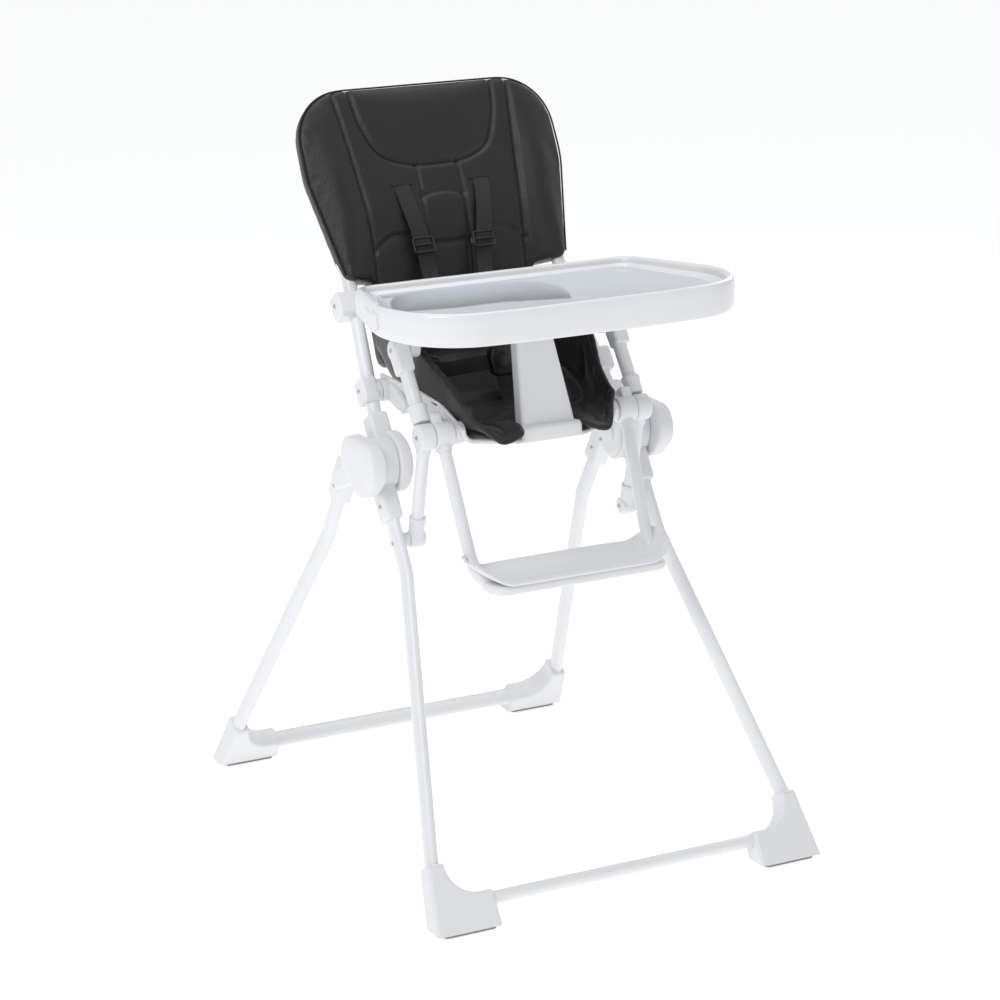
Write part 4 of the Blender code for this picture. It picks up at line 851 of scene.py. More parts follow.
class CHAIR_OT_footrest(bpy.types.Operator):
    """Knuckles, posts, footrest tube and plate, and the links to the front legs"""

    bl_idname = "chair.footrest"
    bl_label = "Footrest"

    def execute(self, context):
        white, tube = MATERIALS["plastic_white"], MATERIALS["tube_white"]
        post_up = unit(POST_TOP - KNUCKLE)
        post_length = np.linalg.norm(POST_TOP - KNUCKLE)
        low, bar = np.array([-0.2135, 0.452]), np.array([-0.245, 0.4195])
        start = KNUCKLE + unit(low - KNUCKLE) * 0.012
        half = [(0.143, *start), (0.137, *low), (0.134, *bar)]
        path = rounded_path(half + [(-x, y, z) for x, y, z in reversed(half)], [0.045, 0.030, 0.030, 0.045])
        plane = np.cross([1, 0, 0], [0, *(low - start)])
        piece("footrest_bow", [swept(path, unit(plane), 0.009, 0.009)], tube, "footrest_frame",
              ["footrest_tube"])
        link_down = unit(LINK_FOOT - KNUCKLE)
        link_length = np.linalg.norm(LINK_FOOT - KNUCKLE)
        for hand, side in SIDES.items():
            points = [(side * 0.167, *(KNUCKLE + post_up * a)) for a in (0.026, 0.06, post_length - 0.019)]
            piece(f"arm_post_{hand}", [swept(points, (1, 0, 0), 0.010, 0.010)], tube, "footrest_frame",
                  [f"post_{hand}"])
            body = [disc(KNUCKLE, 0.0185, 0.1285, 0.1565, 0.0022, side)]
            body.append(side_slab(bar_loop(KNUCKLE + post_up * 0.005, KNUCKLE + post_up * 0.030, 0.0120,
                                           0.0125, 0.004), 0.140, 0.1565, 0.003, side))
            collar = [(side * 0.167, *(KNUCKLE + post_up * a)) for a in np.linspace(0.0202, 0.046, 12)]
            size = np.interp(np.linspace(0, 1, 12), [0, 0.12, 0.75, 0.8, 0.95, 1],
                             [0.0118, 0.0125, 0.0130, 0.0140, 0.0140, 0.0132])
            body.append(swept(collar, (1, 0, 0), size, size, 40))
            stub_way = unit(low - KNUCKLE)
            stub = [(side * 0.143, *(KNUCKLE + stub_way * a)) for a in np.linspace(0.008, 0.024, 5)]
            body.append(swept(stub, (1, 0, 0), 0.0112, 0.0112, 36))
            piece(f"front_knuckle_{hand}", body, white, "footrest_frame", [f"knuckle_{hand}"])

            near, far, _ = node_x(f"post_cap_{hand}")
            a, b = POST_TOP, POST_TOP - post_up * 0.036
            head = [disc(POST_TOP, 0.0146, near - 0.0004, far + 0.0008, 0.0030, side),
                    side_slab(bar_loop(a + post_up * 0.008, b, 0.0150, 0.0128, 0.005), near, far, 0.0042,
                              side)]
            piece(f"post_head_{hand}", head, white, "footrest_frame", [f"post_cap_{hand}"])
            add_screws(f"post_screw_{hand}", [(POST_TOP, far + 0.0008, side)], "footrest_frame")

            points = [(side * 0.168, *(KNUCKLE + link_down * a))
                      for a in (0.0165, 0.06, link_length - 0.018)]
            piece(f"link_bar_{hand}", [swept(points, (1, 0, 0), 0.009, 0.009)], tube, "links",
                  [f"link_tube_{hand}"])
            eye = [disc(KNUCKLE, 0.0185, 0.1570, 0.1800, 0.0030, side)]
            neck = [(side * 0.168, *(KNUCKLE + link_down * a)) for a in np.linspace(0.010, 0.026, 6)]
            eye.append(swept(neck, (1, 0, 0), np.linspace(0.0112, 0.0104, 6),
                             np.linspace(0.0112, 0.0104, 6), 36))
            piece(f"link_drum_{hand}", eye, white, "links", [f"link_eye_{hand}"])
            add_screws(f"link_drum_screw_{hand}", [(KNUCKLE, 0.1800, side)], "links")
            elbow = [disc(LINK_FOOT, 0.0125, 0.1555, 0.179, 0.0035, side)]
            sleeve = [(side * 0.168, *(LINK_FOOT - link_down * a)) for a in np.linspace(-0.004, 0.034, 12)]
            size = np.interp(np.linspace(0, 1, 12), [0, 0.8, 0.86, 0.96, 1],
                             [0.0118, 0.0112, 0.0124, 0.0124, 0.0116])
            elbow.append(swept(sleeve, (1, 0, 0), size, size, 36))
            piece(f"link_elbow_cover_{hand}", elbow, white, "links", [f"link_elbow_{hand}"])
            spool = [disc(LINK_FOOT, 0.0095, 0.1795, 0.190, 0.0008, side, 40),
                     disc(LINK_FOOT, 0.0112, 0.1850, 0.1895, 0.0008, side, 40)]
            piece(f"link_spool_{hand}", spool, white, "front_legs", [f"link_boss_{hand}"])
            add_screws(f"link_screw_{hand}", [(leg_at(LEGS["front"], LINK_FOOT[1]), 0.2083, side)],
                       "front_legs")
            add_screws(f"elbow_screw_{hand}", [(LINK_FOOT, -0.1555, -side)], "links")
        self.plate()
        return {"FINISHED"}

    def plate(self):
        """A dished shelf. Its ends rise as ((|u| - 0.72) / 0.28)^1.6, and its long edges have a lip."""
        low, high = (np.array(corner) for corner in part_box("footrest_plate"))
        half, base = (high[0] - low[0]) / 2, low[2]
        u = np.linspace(-1, 1, 121)[:, None]
        v = np.linspace(-1, 1, 41)[None, :]
        taper = (1 - np.abs(u) ** 7) ** 0.5
        depth = (high[1] - low[1]) / 2
        x = half * 0.997 * np.sign(u) * np.abs(u) ** 0.97 + v * 0
        y = (high[1] + low[1]) / 2 + v * depth * (0.30 + 0.70 * taper) + 0.012 * np.abs(u) ** 5
        rise = 0.0255 * np.clip((np.abs(u) - 0.72) / 0.28, 0, 1) ** 1.6
        lip = 0.010 * np.abs(v) ** 4 * (1 - 0.5 * np.abs(u) ** 4)
        front_drop = 0.006 * np.clip((-v - 0.80) / 0.20, 0, 1) ** 1.5
        z = base + 0.0125 + rise + lip - front_drop
        grid = np.stack([x, y, z], axis=-1)
        parts = [thick_sheet(grid, 0.0046, 5)]
        skirt_y = low[1] + 0.006
        apron = rounded_loop([(half * 0.90, skirt_y, 0.02), (half * 0.90, skirt_y + 0.060, 0.02),
                              (-half * 0.90, skirt_y + 0.060, 0.02), (-half * 0.90, skirt_y, 0.02)], 8)
        parts.append(slab(apron, fillet(base - 0.001, base + 0.0125, 0.005)))
        piece("footrest_shelf", parts, MATERIALS["plastic_white"], "footrest_frame", ["footrest_plate"])


# ---------------------------------------------------------------- arms and tray


class CHAIR_OT_arms(bpy.types.Operator):
    """The two arms under the tray"""

    bl_idname = "chair.arms"
    bl_label = "Arms"

    def execute(self, context):
        for hand, side in SIDES.items():
            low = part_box(f"armrest_{hand}")[0]
            turn = np.radians(np.linspace(100, 265, 20))
            rear = ARM_PIVOT + 0.0160 * np.stack([np.cos(turn), np.sin(turn)], axis=1)
            turn = np.radians(np.linspace(-60, -190, 20))
            lug = POST_TOP + 0.0125 * np.stack([np.cos(turn), np.sin(turn)], axis=1)
            tip = [(low.y + 0.003, ARM_TOP - 0.024), (low.y, ARM_TOP - 0.018), (low.y, ARM_TOP - 0.003),
                   (low.y + 0.003, ARM_TOP), (ARM_PIVOT[0] - 0.030, ARM_TOP)]
            outline = np.concatenate([rear, lug, tip])
            parts = [side_slab(resampled(outline, 150, closed=True), 0.140, 0.1565, 0.0028, side)]
            parts.append(disc(POST_TOP, 0.005, 0.150, 0.178, 0.0005, side, 32))
            piece(f"arm_bar_{hand}", parts, MATERIALS["plastic_white"], "arms", [f"armrest_{hand}"])
        return {"FINISHED"}


def tray_outline(count=260):
    """The tray's plan: a straight rear edge, sides that spread forwards, and a long bowed front."""
    low, high = (np.array(corner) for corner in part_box("tray_body"))
    half, front, rear = (high[0] - low[0]) / 2, low[1], high[1]
    right = [(0.213, rear, 0.034), (half + 0.004, rear - 0.185, 0.120), (half * 0.90, front + 0.012, 0.105),
             (half * 0.42, front + 0.0005, 0.42)]
    outline = rounded_loop(right + [(-x, y, radius) for x, y, radius in reversed(right)], 12)
    outline[:, 0] *= half / np.abs(outline[:, 0]).max()
    outline[:, 1] = np.interp(outline[:, 1], [outline[:, 1].min(), outline[:, 1].max()], [front, rear])
    return counterclockwise(resampled(outline, count, closed=True))


class CHAIR_OT_tray(bpy.types.Operator):
    """The tray with its rolled rim, skirt and pale insert, and the latch at its free end"""

    bl_idname = "chair.tray"
    bl_label = "Tray"

    def execute(self, context):
        low, high = (np.array(corner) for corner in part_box("tray_body"))
        rim, skirt = high[2], low[2]
        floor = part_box("tray_insert")[0].z
        outline = tray_outline()
        normal = inward(outline)
        turn = np.linspace(0, math.pi, 9)
        roll = np.stack([0.0068 + 0.0062 * np.cos(turn), rim - 0.0062 + 0.0062 * np.sin(turn)], axis=1)
        profile = np.concatenate([
            [(0.034, floor), (0.026, floor), (0.0225, floor + 0.0015), (0.0195, floor + 0.006),
             (0.0140, rim - 0.011)],
            roll,
            [(-0.0003, rim - 0.016), (0.0002, skirt + 0.014), (0.0005, skirt + 0.004),
             (0.0012, skirt + 0.0010),
             (0.0026, skirt), (0.0040, skirt + 0.0008), (0.0049, skirt + 0.004), (0.0075, floor - 0.008),
             (0.026, floor - 0.004)],
        ])
        inset, height = profile[:, 0], profile[:, 1]
        flat = outline[None] + inset[:, None, None] * normal[None]
        rows = np.repeat(height[:, None], len(outline), axis=1)
        slope = (outline[:, 1] - low[1]) / (high[1] - low[1])
        lift = np.clip(1 - (rows - skirt) / (floor - 0.008 - skirt), 0, 1) * 0.0072 * slope
        fall = np.clip((rows - floor) / (rim - floor), 0, 1) * 0.006 * slope ** 2
        grid = np.concatenate([flat, (rows + lift - fall)[..., None]], axis=2)
        parts = [closed_tube(grid)]
        hinge = np.array(JOINTS["tray_swing"]["pos_m"][:2])
        angle = np.linspace(0, 2 * math.pi, 40, endpoint=False)
        boss = hinge + 0.012 * np.stack([np.cos(angle), np.sin(angle)], axis=1)
        parts.append(slab(boss, fillet(skirt + 0.008, floor - 0.002, 0.001)))
        piece("tray_moulding", parts, MATERIALS["tray_white"], "tray", ["tray_body"], degrees=50)

        low, high = (np.array(corner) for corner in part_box("tray_insert"))
        sheet = outline + 0.0265 * normal
        mat = slab(sheet, [(0, floor + 0.0003), (0, floor + 0.0020), (0.0012, floor + 0.0031),
                           (0.0028, floor + 0.0031),
                           (0.0042, floor + 0.0022)])
        piece("tray_mat", [mat], MATERIALS["insert_blue"], "tray", ["tray_insert"])
        self.latch(outline, normal, rim, skirt)
        return {"FINISHED"}

    def latch(self, outline, normal, rim, skirt):
        """A cover that wraps the tray's free rear corner, with a paddle sunk in it."""
        right_end = (outline[:, 0] < -0.190) & (outline[:, 1] > -0.200)
        run = outline[right_end]
        run_normal = normal[right_end]
        order = np.argsort(-run[:, 1])
        run, run_normal = run[order], run_normal[order]
        profile = np.array([(0.0, skirt + 0.006), (-0.0028, skirt + 0.008), (-0.0034, rim - 0.014),
                            (-0.0022, rim - 0.004),
                            (0.002, rim + 0.0016), (0.008, rim + 0.0016), (0.010, rim - 0.004),
                            (0.006, rim - 0.010),
                            (0.004, skirt + 0.008)])
        share = np.linspace(0, 1, len(run))
        drop = 0.0085 * ((run[:, 1] - outline[:, 1].min()) / np.ptp(outline[:, 1])) ** 2
        rings = run[:, None] + profile[None, :, :1] * run_normal[:, None]
        height = profile[None, :, 1] - drop[:, None] * np.clip(
            (profile[None, :, 1] - skirt) / (rim - skirt), 0.4, 1)
        grid = np.concatenate([rings, height[..., None]], axis=2)
        pinch = (1 - 0.25 * np.exp(-((share * (1 - share)) / 0.004)))[:, None, None]
        middle = grid.mean(axis=1, keepdims=True)
        grid = middle + (grid - middle) * pinch
        piece("tray_corner_cover", [closed_tube(grid)], MATERIALS["plastic_white"], "tray")
        low, high = (np.array(corner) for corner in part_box("tray_latch"))
        face = rounded_loop([(low[1], low[2], 0.004), (high[1], low[2], 0.004), (high[1], high[2], 0.004),
                             (low[1], high[2], 0.004)])
        paddle = side_slab(face, -high[0] - 0.002, -low[0] + 0.0030, 0.0025, -1)
        points = paddle[0]
        edge_y, edge_x = run[::-1, 1], run[::-1, 0]
        points[:, 0] += (np.interp(points[:, 1], edge_y, edge_x)
                         - np.interp((low[1] + high[1]) / 2, edge_y, edge_x))
        piece("latch_paddle", [paddle], MATERIALS["plastic_white"], "tray_latch", ["tray_latch"])


# ---------------------------------------------------------------- pads


def remeshed(obj, voxel):
    """The object's shape as even small cells, with its modifiers applied."""
    remesh = obj.modifiers.new("Cells", "REMESH")
    remesh.mode = "VOXEL"
    remesh.voxel_size = voxel
    return applied(obj)


def applied(obj):
    bpy.context.view_layer.update()
    graph = bpy.context.evaluated_depsgraph_get()
    mesh = bpy.data.meshes.new_from_object(obj.evaluated_get(graph))
    obj.modifiers.clear()
    obj.data = mesh
    return obj


def coordinates(obj):
    flat = np.empty(len(obj.data.vertices) * 3)
    obj.data.vertices.foreach_get("co", flat)
    return flat.reshape(-1, 3)


def set_coordinates(obj, points):
    obj.data.vertices.foreach_set("co", np.asarray(points, float).ravel())
    obj.data.update()


def normals(obj):
    flat = np.empty(len(obj.data.vertices) * 3)
    obj.data.vertices.foreach_get("normal", flat)
    return flat.reshape(-1, 3)


def swell(obj, held, most, pressure=4.0):
    """Blows the pad up as cloth, holding the vertices along its seams, and caps how far a point moves."""
    group = obj.vertex_groups.new(name="held")
    group.add(np.nonzero(held >= 1)[0].tolist(), 1.0, "REPLACE")
    cloth = obj.modifiers.new("Cloth", "CLOTH")
    settings = cloth.settings
    settings.quality = 5
    settings.mass = 0.3
    settings.vertex_group_mass = "held"
    settings.tension_stiffness = settings.compression_stiffness = 12
    settings.shear_stiffness = 6
    settings.bending_stiffness = 0.6
    settings.use_pressure = True
    settings.uniform_pressure_force = pressure
    settings.effector_weights.gravity = 0
    start = coordinates(obj)
    scene = bpy.context.scene
    for number in range(1, 21):
        scene.frame_set(number)
    graph = bpy.context.evaluated_depsgraph_get()
    mesh = obj.evaluated_get(graph).to_mesh()
    moved = np.empty(len(mesh.vertices) * 3)
    mesh.vertices.foreach_get("co", moved)
    obj.evaluated_get(graph).to_mesh_clear()
    shift = moved.reshape(-1, 3) - start
    length = np.linalg.norm(shift, axis=1, keepdims=True)
    shift *= np.minimum(1, most / np.maximum(length, 1e-9))
    obj.modifiers.clear()
    obj.vertex_groups.clear()
    scene.frame_set(1)
    set_coordinates(obj, start + shift)
    return obj


def subdivided(obj):
    smooth = obj.modifiers.new("Subdivision", "SUBSURF")
    smooth.levels = smooth.render_levels = 1
    return applied(obj)


def line_distance(points, line):
    """Each point's distance to a polyline, in the plane."""
    best = np.full(len(points), np.inf)
    for a, b in zip(line, line[1:]):
        along = b - a
        share = np.clip((points - a) @ along / (along @ along), 0, 1)
        best = np.minimum(best, np.linalg.norm(points - a - share[:, None] * along, axis=1))
    return best


def bowed(points, count=40):
    """A smooth line through a few points, by length along it."""
    points = np.asarray(points, float)
    length = np.concatenate([[0], np.cumsum(np.linalg.norm(np.diff(points, axis=0), axis=1))])
    slope = np.gradient(points, length, axis=0)
    wanted = np.linspace(0, length[-1], count)
    k = np.clip(np.searchsorted(length, wanted, "right") - 1, 0, len(points) - 2)
    step = (length[k + 1] - length[k])[:, None]
    t = (wanted[:, None] - length[k][:, None]) / step
    return ((2 * t ** 3 - 3 * t ** 2 + 1) * points[k] + (t ** 3 - 2 * t ** 2 + t) * step * slope[k]
            + (3 * t ** 2 - 2 * t ** 3) * points[k + 1] + (t ** 3 - t ** 2) * step * slope[k + 1])


def back_seams():
    """The back pad's sewn lines, as (x, up) points: side seams, head pillow, channels and pleats."""
    seams = {}
    for hand, side in SIDES.items():
        seams[f"side_{hand}"] = bowed([(side * 0.141, BACK_TOP), (side * 0.134, 0.213),
                                       (side * 0.128, 0.150),
                                       (side * 0.122, 0.080), (side * 0.120, 0.0), (side * 0.120, -0.06)])
        seams[f"channel_{hand}"] = bowed([(side * 0.033, 0.155), (side * 0.034, 0.07),
                                          (side * 0.037, -0.088)])
        seams[f"pleat_{hand}"] = bowed([(side * 0.060, 0.056), (side * 0.090, 0.055),
                                        (side * 0.120, 0.036)])
    pillow = [(0.114, BACK_TOP), (0.106, 0.222), (0.084, 0.177), (0.050, 0.161), (0.0, 0.157)]
    seams["pillow"] = bowed(pillow + [(-x, up) for x, up in reversed(pillow[:-1])], 90)
    seams["arch"] = bowed([(-0.033, 0.108), (-0.015, 0.114), (0.012, 0.114), (0.033, 0.108)])
    seams["lumbar"] = bowed([(-0.036, 0.042), (0.0, 0.040), (0.036, 0.042)])
    return seams


def pouch(x, up):
    """How far the back's middle hangs behind the tube: nothing high up, deepening below the waist."""
    depth = 0.040 * np.clip((0.10 - up) / 0.13, 0, 1) ** 1.4 + 0.10 * np.clip(-0.02 - up, 0, 0.08)
    middle = np.clip(1 - (np.abs(x) / 0.168) ** 4, 0, 1)
    return depth * np.where(up < -0.01, np.maximum(middle, np.clip((-up - 0.01) / 0.03, 0, 1)), middle)


def side_bolster(x, up):
    """The side panels stand a little proud, and fall away at the top."""
    rise = np.exp(-(((np.abs(x) - 0.158) / 0.024) ** 2))
    return 0.007 * rise * np.clip((0.26 - up) / 0.10, 0, 1)


class CHAIR_OT_back_pad(bpy.types.Operator):
    """The padded back: sewn, blown up as cloth between its seams, and piped"""

    bl_idname = "chair.back_pad"
    bl_label = "Back pad"

    def execute(self, context):
        sizes = context.scene.chair_sizes
        half = [(0.128, -0.122, 0.014), (0.128, -0.004, 0.004), (0.1745, -0.004, 0.010),
                (0.2035, 0.150, 0.140), (0.2000, BACK_TOP + 0.0015, 0.076)]
        outline = rounded_loop(half + [(-x, up, radius) for x, up, radius in reversed(half)], 10)
        outline = resampled(outline, 240, closed=True)
        blank = slab(outline, fillet(-0.0125, 0.0175, 0.0085, 5))
        obj = mesh_object("back_cushion", [blank])
        remeshed(obj, sizes.voxel)
        flat = coordinates(obj)
        seams = back_seams()
        front = flat[:, 2] > 0.010
        distance = np.min([line_distance(flat[:, :2], line) for line in seams.values()], axis=0)
        rim = line_distance(flat[:, :2], np.concatenate([outline, outline[:1]]))
        held = np.where(front & (distance < sizes.voxel * 0.8), 1.0, 0.0)
        held = np.where(flat[:, 2] < -0.004, 1.0, held)
        held = np.where((rim < 0.006) & (flat[:, 2] < 0.012), 1.0, held)
        swell(obj, held, sizes.back_swell)
        subdivided(obj)
        flat = coordinates(obj)
        points = flat.copy()
        front = np.clip((flat[:, 2] - 0.004) / 0.008, 0, 1)
        for name, line in seams.items():
            near = line_distance(flat[:, :2], line)
            deep = name in ("pillow", "side_left", "side_right")
            depth, width = (0.0042, 0.0042) if deep else (0.0032, 0.0038)
            points[:, 2] -= front * depth * np.exp(-((near / width) ** 2))
        points[:, 2] += front * (side_bolster(flat[:, 0], flat[:, 1]))
        wave = np.sin(flat[:, 0] * 95 + 2.2 * np.sin(flat[:, 1] * 37))
        wrinkle = wave * np.exp(-(((flat[:, 1] - 0.150) / 0.035) ** 2))
        points[:, 2] += front * 0.0006 * wrinkle
        points[:, 2] -= pouch(points[:, 0], points[:, 1])
        set_coordinates(obj, self.on_back(points))
        shaded(obj, 60)
        tree = BVHTree.FromObject(obj, bpy.context.evaluated_depsgraph_get())
        piece("back_cushion", obj, MATERIALS["vinyl_black"], "back_frame", ["back_pad"])
        self.piping(outline, seams, tree, sizes.piping)
        self.slots(tree)
        return {"FINISHED"}

    @staticmethod
    def on_back(points):
        side_view = back_point(points[:, 1], points[:, 2])
        return np.column_stack([points[:, 0], side_view])

    def on_surface(self, tree, flat, lift):
        """Points on the pad's front, found by looking at it from in front, and lifted a little off it."""
        starts = self.on_back(np.column_stack([flat, np.full(len(flat), 0.08)]))
        way = Vector((0, *(-BACK_FORWARD)))
        found = [tree.ray_cast(Vector(start), way) for start in starts]
        kept = [hit[0] + hit[1] * lift for hit in found if hit[0] is not None]
        return np.array([list(point) for point in kept])

    def piping(self, outline, seams, tree, radius):
        """A bead along the side seams and the head pillow, and round the pad's front rim."""
        parts = []
        for name in ("side_left", "side_right", "pillow"):
            line = seams[name]
            line = line[(line[:, 1] < BACK_TOP - 0.010) & (line[:, 1] > -0.02)]
            path = self.on_surface(tree, resampled(line, 120), 0.0004)
            parts.append(swept(smoothed(path, 6), (0, *BACK_FORWARD), radius * 0.8, radius * 0.8, 10))
        upper = outline[(outline[:, 1] > 0.002)]
        gap = np.linalg.norm(upper - np.roll(upper, 1, axis=0), axis=1)
        upper = np.roll(upper, -np.argmax(gap), axis=0)
        path = self.on_back(np.column_stack(
            [upper, np.full(len(upper), 0.0125) + side_bolster(upper[:, 0], upper[:, 1]) * 0.4]))
        path[:, 0] *= 1.004
        parts.append(swept(smoothed(path, 4), (0, *BACK_FORWARD), radius, radius, 10))
        piece("back_piping", parts, MATERIALS["piping_black"], "back_frame")

    def slots(self, tree):
        """A stitched slot for each shoulder strap."""
        parts = []
        for side in SIDES.values():
            line = np.column_stack([side * np.linspace(0.046, 0.078, 12),
                                    0.128 + 0.0012 * np.sin(np.linspace(0, math.pi, 12))])
            path = self.on_surface(tree, line, 0.0006)
            parts.append(swept(path, (0, *BACK_FORWARD), 0.0016, 0.0011, 10))
        piece("strap_slots", parts, MATERIALS["piping_black"], "back_frame")


def smoothed(path, times):
    path = np.array(path, float)
    for _ in range(times):
        path[1:-1] = path[1:-1] * 0.5 + (path[:-2] + path[2:]) * 0.25
    return path


def smooth(share):
    """An even rise from 0 to 1, level at both ends: 3 s^2 - 2 s^3."""
    share = np.clip(share, 0, 1)
    return share * share * (3 - 2 * share)


def pad_grid(along, across):
    """The seat pad's middle surface: a trough whose walls fall towards the front, with two front lobes."""
    rear = 0.088
    out = np.abs(across)
    front = -0.160 - 0.052 * smooth((out - 0.27) / 0.13) + 0.040 * smooth((out - 0.62) / 0.30)
    y = rear + (front - rear) * along
    half, floor, _ = seat_section(np.clip(y, -0.19, 0.018))
    floor = floor + 0.0115 + np.clip(y - 0.018, 0, 1) * 0.10 + 0.022 * smooth((y - 0.030) / 0.058)
    half = np.minimum(half - 0.0105, 0.1335) - 0.004 * np.clip((y - 0.03) / 0.05, 0, 1)
    top = np.interp(y, [-0.172, -0.150, -0.120, -0.06, 0.0, 0.06, 0.088],
                    [0.640, 0.655, 0.680, 0.724, 0.752, 0.757, 0.745])
    grid = trough(y, half, floor, top, 0.030, across)
    x = np.abs(grid[..., 0])
    lobe = np.exp(-(((x - 0.082) / 0.034) ** 2))
    droop = np.clip((-0.170 - y) / 0.045, 0, 1)
    grid[..., 2] += 0.010 * np.clip((-0.130 - y) / 0.06, 0, 1) * (1 - 0.35 * lobe)
    grid[..., 2] -= droop ** 2 * 0.014 * lobe
    grid[..., 2] += 0.003 * np.exp(-(((y + 0.06) / 0.03) ** 2)) * np.clip(1 - x / 0.1, 0, 1)
    return grid


class CHAIR_OT_seat_pad(bpy.types.Operator):
    """The padded seat with its side walls, blown up as cloth between a hem and two floor seams"""

    bl_idname = "chair.seat_pad"
    bl_label = "Seat pad"

    def execute(self, context):
        sizes = context.scene.chair_sizes
        along = np.linspace(0, 1, 90)[:, None]
        across = np.linspace(-1, 1, 160)[None, :]
        grid = pad_grid(along, across)
        blank = thick_sheet(grid, 0.0090, 5)
        obj = mesh_object("seat_cushion", [blank])
        remeshed(obj, sizes.voxel * 0.9)
        share, inner = self.lookup(obj, grid, along, across)
        seam = self.seam_distance(share)
        held = np.where((seam < 0.0042) | (inner < 0.2), 1.0, 0.0)
        swell(obj, held, sizes.seat_swell)
        subdivided(obj)
        share, inner = self.lookup(obj, grid, along, across)
        seam = self.seam_distance(share)
        points, way = coordinates(obj), normals(obj)
        points -= way * (0.0022 * np.exp(-((seam / 0.0032) ** 2)) * np.clip(inner, 0, 1))[:, None]
        set_coordinates(obj, points)
        shaded(obj, 60)
        piece("seat_cushion", obj, MATERIALS["vinyl_black"], "seat", ["seat_pad"])
        self.piping(sizes.piping)
        return {"FINISHED"}

    @staticmethod
    def lookup(obj, grid, along, across):
        """Each vertex's place on the pad, and whether it is on the side that the child sits on."""
        flat = grid.reshape(-1, 3)
        tree = KDTree(len(flat))
        for number, point in enumerate(flat):
            tree.insert(point, number)
        tree.balance()
        points = coordinates(obj)
        index = np.array([tree.find(point)[1] for point in points])
        row, column = np.divmod(index, grid.shape[1])
        normal = unit(np.cross(np.gradient(grid, axis=1), np.gradient(grid, axis=0))).reshape(-1, 3)
        if normal[len(normal) // 2 + grid.shape[1] // 2][2] < 0:
            normal = -normal
        inner = np.einsum("ij,ij->i", points - flat[index], normal[index]) / 0.0045
        return np.column_stack([along[row, 0], across[0, column]]), inner

    @staticmethod
    def seam_distance(share):
        """Distance in metres to the hem, the floor seams and the cross seam."""
        length_along, length_across = 0.262, 0.200
        a, c = share[:, 0], np.abs(share[:, 1])
        hem = np.minimum(np.abs(c - 0.945) * length_across, np.abs(a - 0.955) * length_along)
        hem = np.where((c > 0.96) & (a < 0.95), np.abs(c - 0.945) * length_across, hem)
        floor_seam = np.where(a < 0.95, np.abs(c - 0.56) * length_across, 1)
        cross = np.where(c < 0.56, np.abs(a - 0.62) * length_along, 1)
        return np.minimum(np.minimum(hem, floor_seam), cross)

    def piping(self, radius):
        """A bead along the pad's free edge: up one wall, round the front lobes, and back."""
        a = np.linspace(0.02, 1, 90)
        left = pad_grid(a[:, None], np.array([[-1.0]]))[:, 0]
        front = pad_grid(np.array([[1.0]]), np.linspace(-1, 1, 160)[None, :])[0][1:-1]
        right = pad_grid(a[::-1, None], np.array([[1.0]]))[:, 0]
        path = smoothed(np.concatenate([left, front, right]), 10)
        path = resampled(path, 300)
        parts = []
        for stretch in (path[:100], path[98:202], path[200:]):
            parts.append(swept(stretch, (0.01, 0.3, 1.0), radius * 2.2, radius * 2.2, 12))
        piece("seat_piping", parts, MATERIALS["piping_black"], "seat")


# ---------------------------------------------------------------- harness


def ribbon(path, across, width, thickness=0.0016):
    """A flat strap: a rounded strip carried along a path. Its UV map runs in metres along and across."""
    path = np.asarray(path, float)
    tangent = unit(np.gradient(path, axis=0))
    across = np.broadcast_to(np.asarray(across, float), path.shape)
    side = unit(across - (across * tangent).sum(axis=1, keepdims=True) * tangent)
    lift = np.cross(side, tangent)
    section = rounded_loop([(width / 2, -thickness / 2, thickness * 0.45),
                            (width / 2, thickness / 2, thickness * 0.45),
                            (-width / 2, thickness / 2, thickness * 0.45),
                            (-width / 2, -thickness / 2, thickness * 0.45)], 3)
    rings = path[:, None] + section[None, :, :1] * side[:, None] + section[None, :, 1:] * lift[:, None]
    length = np.concatenate([[0], np.cumsum(np.linalg.norm(np.diff(path, axis=0), axis=1))])
    uv = np.stack([np.broadcast_to(length[:, None], rings.shape[:2]),
                   np.broadcast_to(section[None, :, 0], rings.shape[:2])], axis=-1)
    return closed_tube(rings), uv.reshape(-1, 2)


def strap_piece(name, ribbons, body, nodes=()):
    obj = mesh_object(name, [strip[0] for strip in ribbons])
    flat = np.concatenate([strip[1] for strip in ribbons])
    layer = obj.data.uv_layers.new(name="along")
    corner = np.empty(len(obj.data.loops), int)
    obj.data.loops.foreach_get("vertex_index", corner)
    layer.data.foreach_set("uv", flat[corner].ravel())
    shaded(obj, 50)
    obj.data.materials.append(MATERIALS["webbing_black"])
    if nodes:
        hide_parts(*nodes)
    if body:
        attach(obj, body)
    return obj


def frame_loop(width, height, bar, depth):
    """A slider's frame, as a rounded rectangle of round wire, and its middle bar."""
    loop = rounded_loop([(width / 2, -height / 2, 0.003), (width / 2, height / 2, 0.003),
                         (-width / 2, height / 2, 0.003),
                         (-width / 2, -height / 2, 0.003)], 5)
    angle = np.linspace(0, 2 * math.pi, 10, endpoint=False)
    normal = -inward(loop)
    rings = np.concatenate([
        loop[:, None] + bar * np.cos(angle)[None, :, None] * normal[:, None],
        np.broadcast_to(depth * np.sin(angle)[None, :, None], (len(loop), 10, 1)),
    ], axis=2)
    count = len(loop)
    faces = grid_faces(count, 10, True)
    faces += [[(count - 1) * 10 + k, (count - 1) * 10 + (k + 1) % 10, (k + 1) % 10, k] for k in range(10)]
    middle = swept([(-width / 2, 0, 0.0004), (0, 0, 0.0004), (width / 2, 0, 0.0004)], (0, 0, 1), bar * 0.9,
                   depth * 0.9, 12)
    return [outward(rings.reshape(-1, 3), faces), middle]


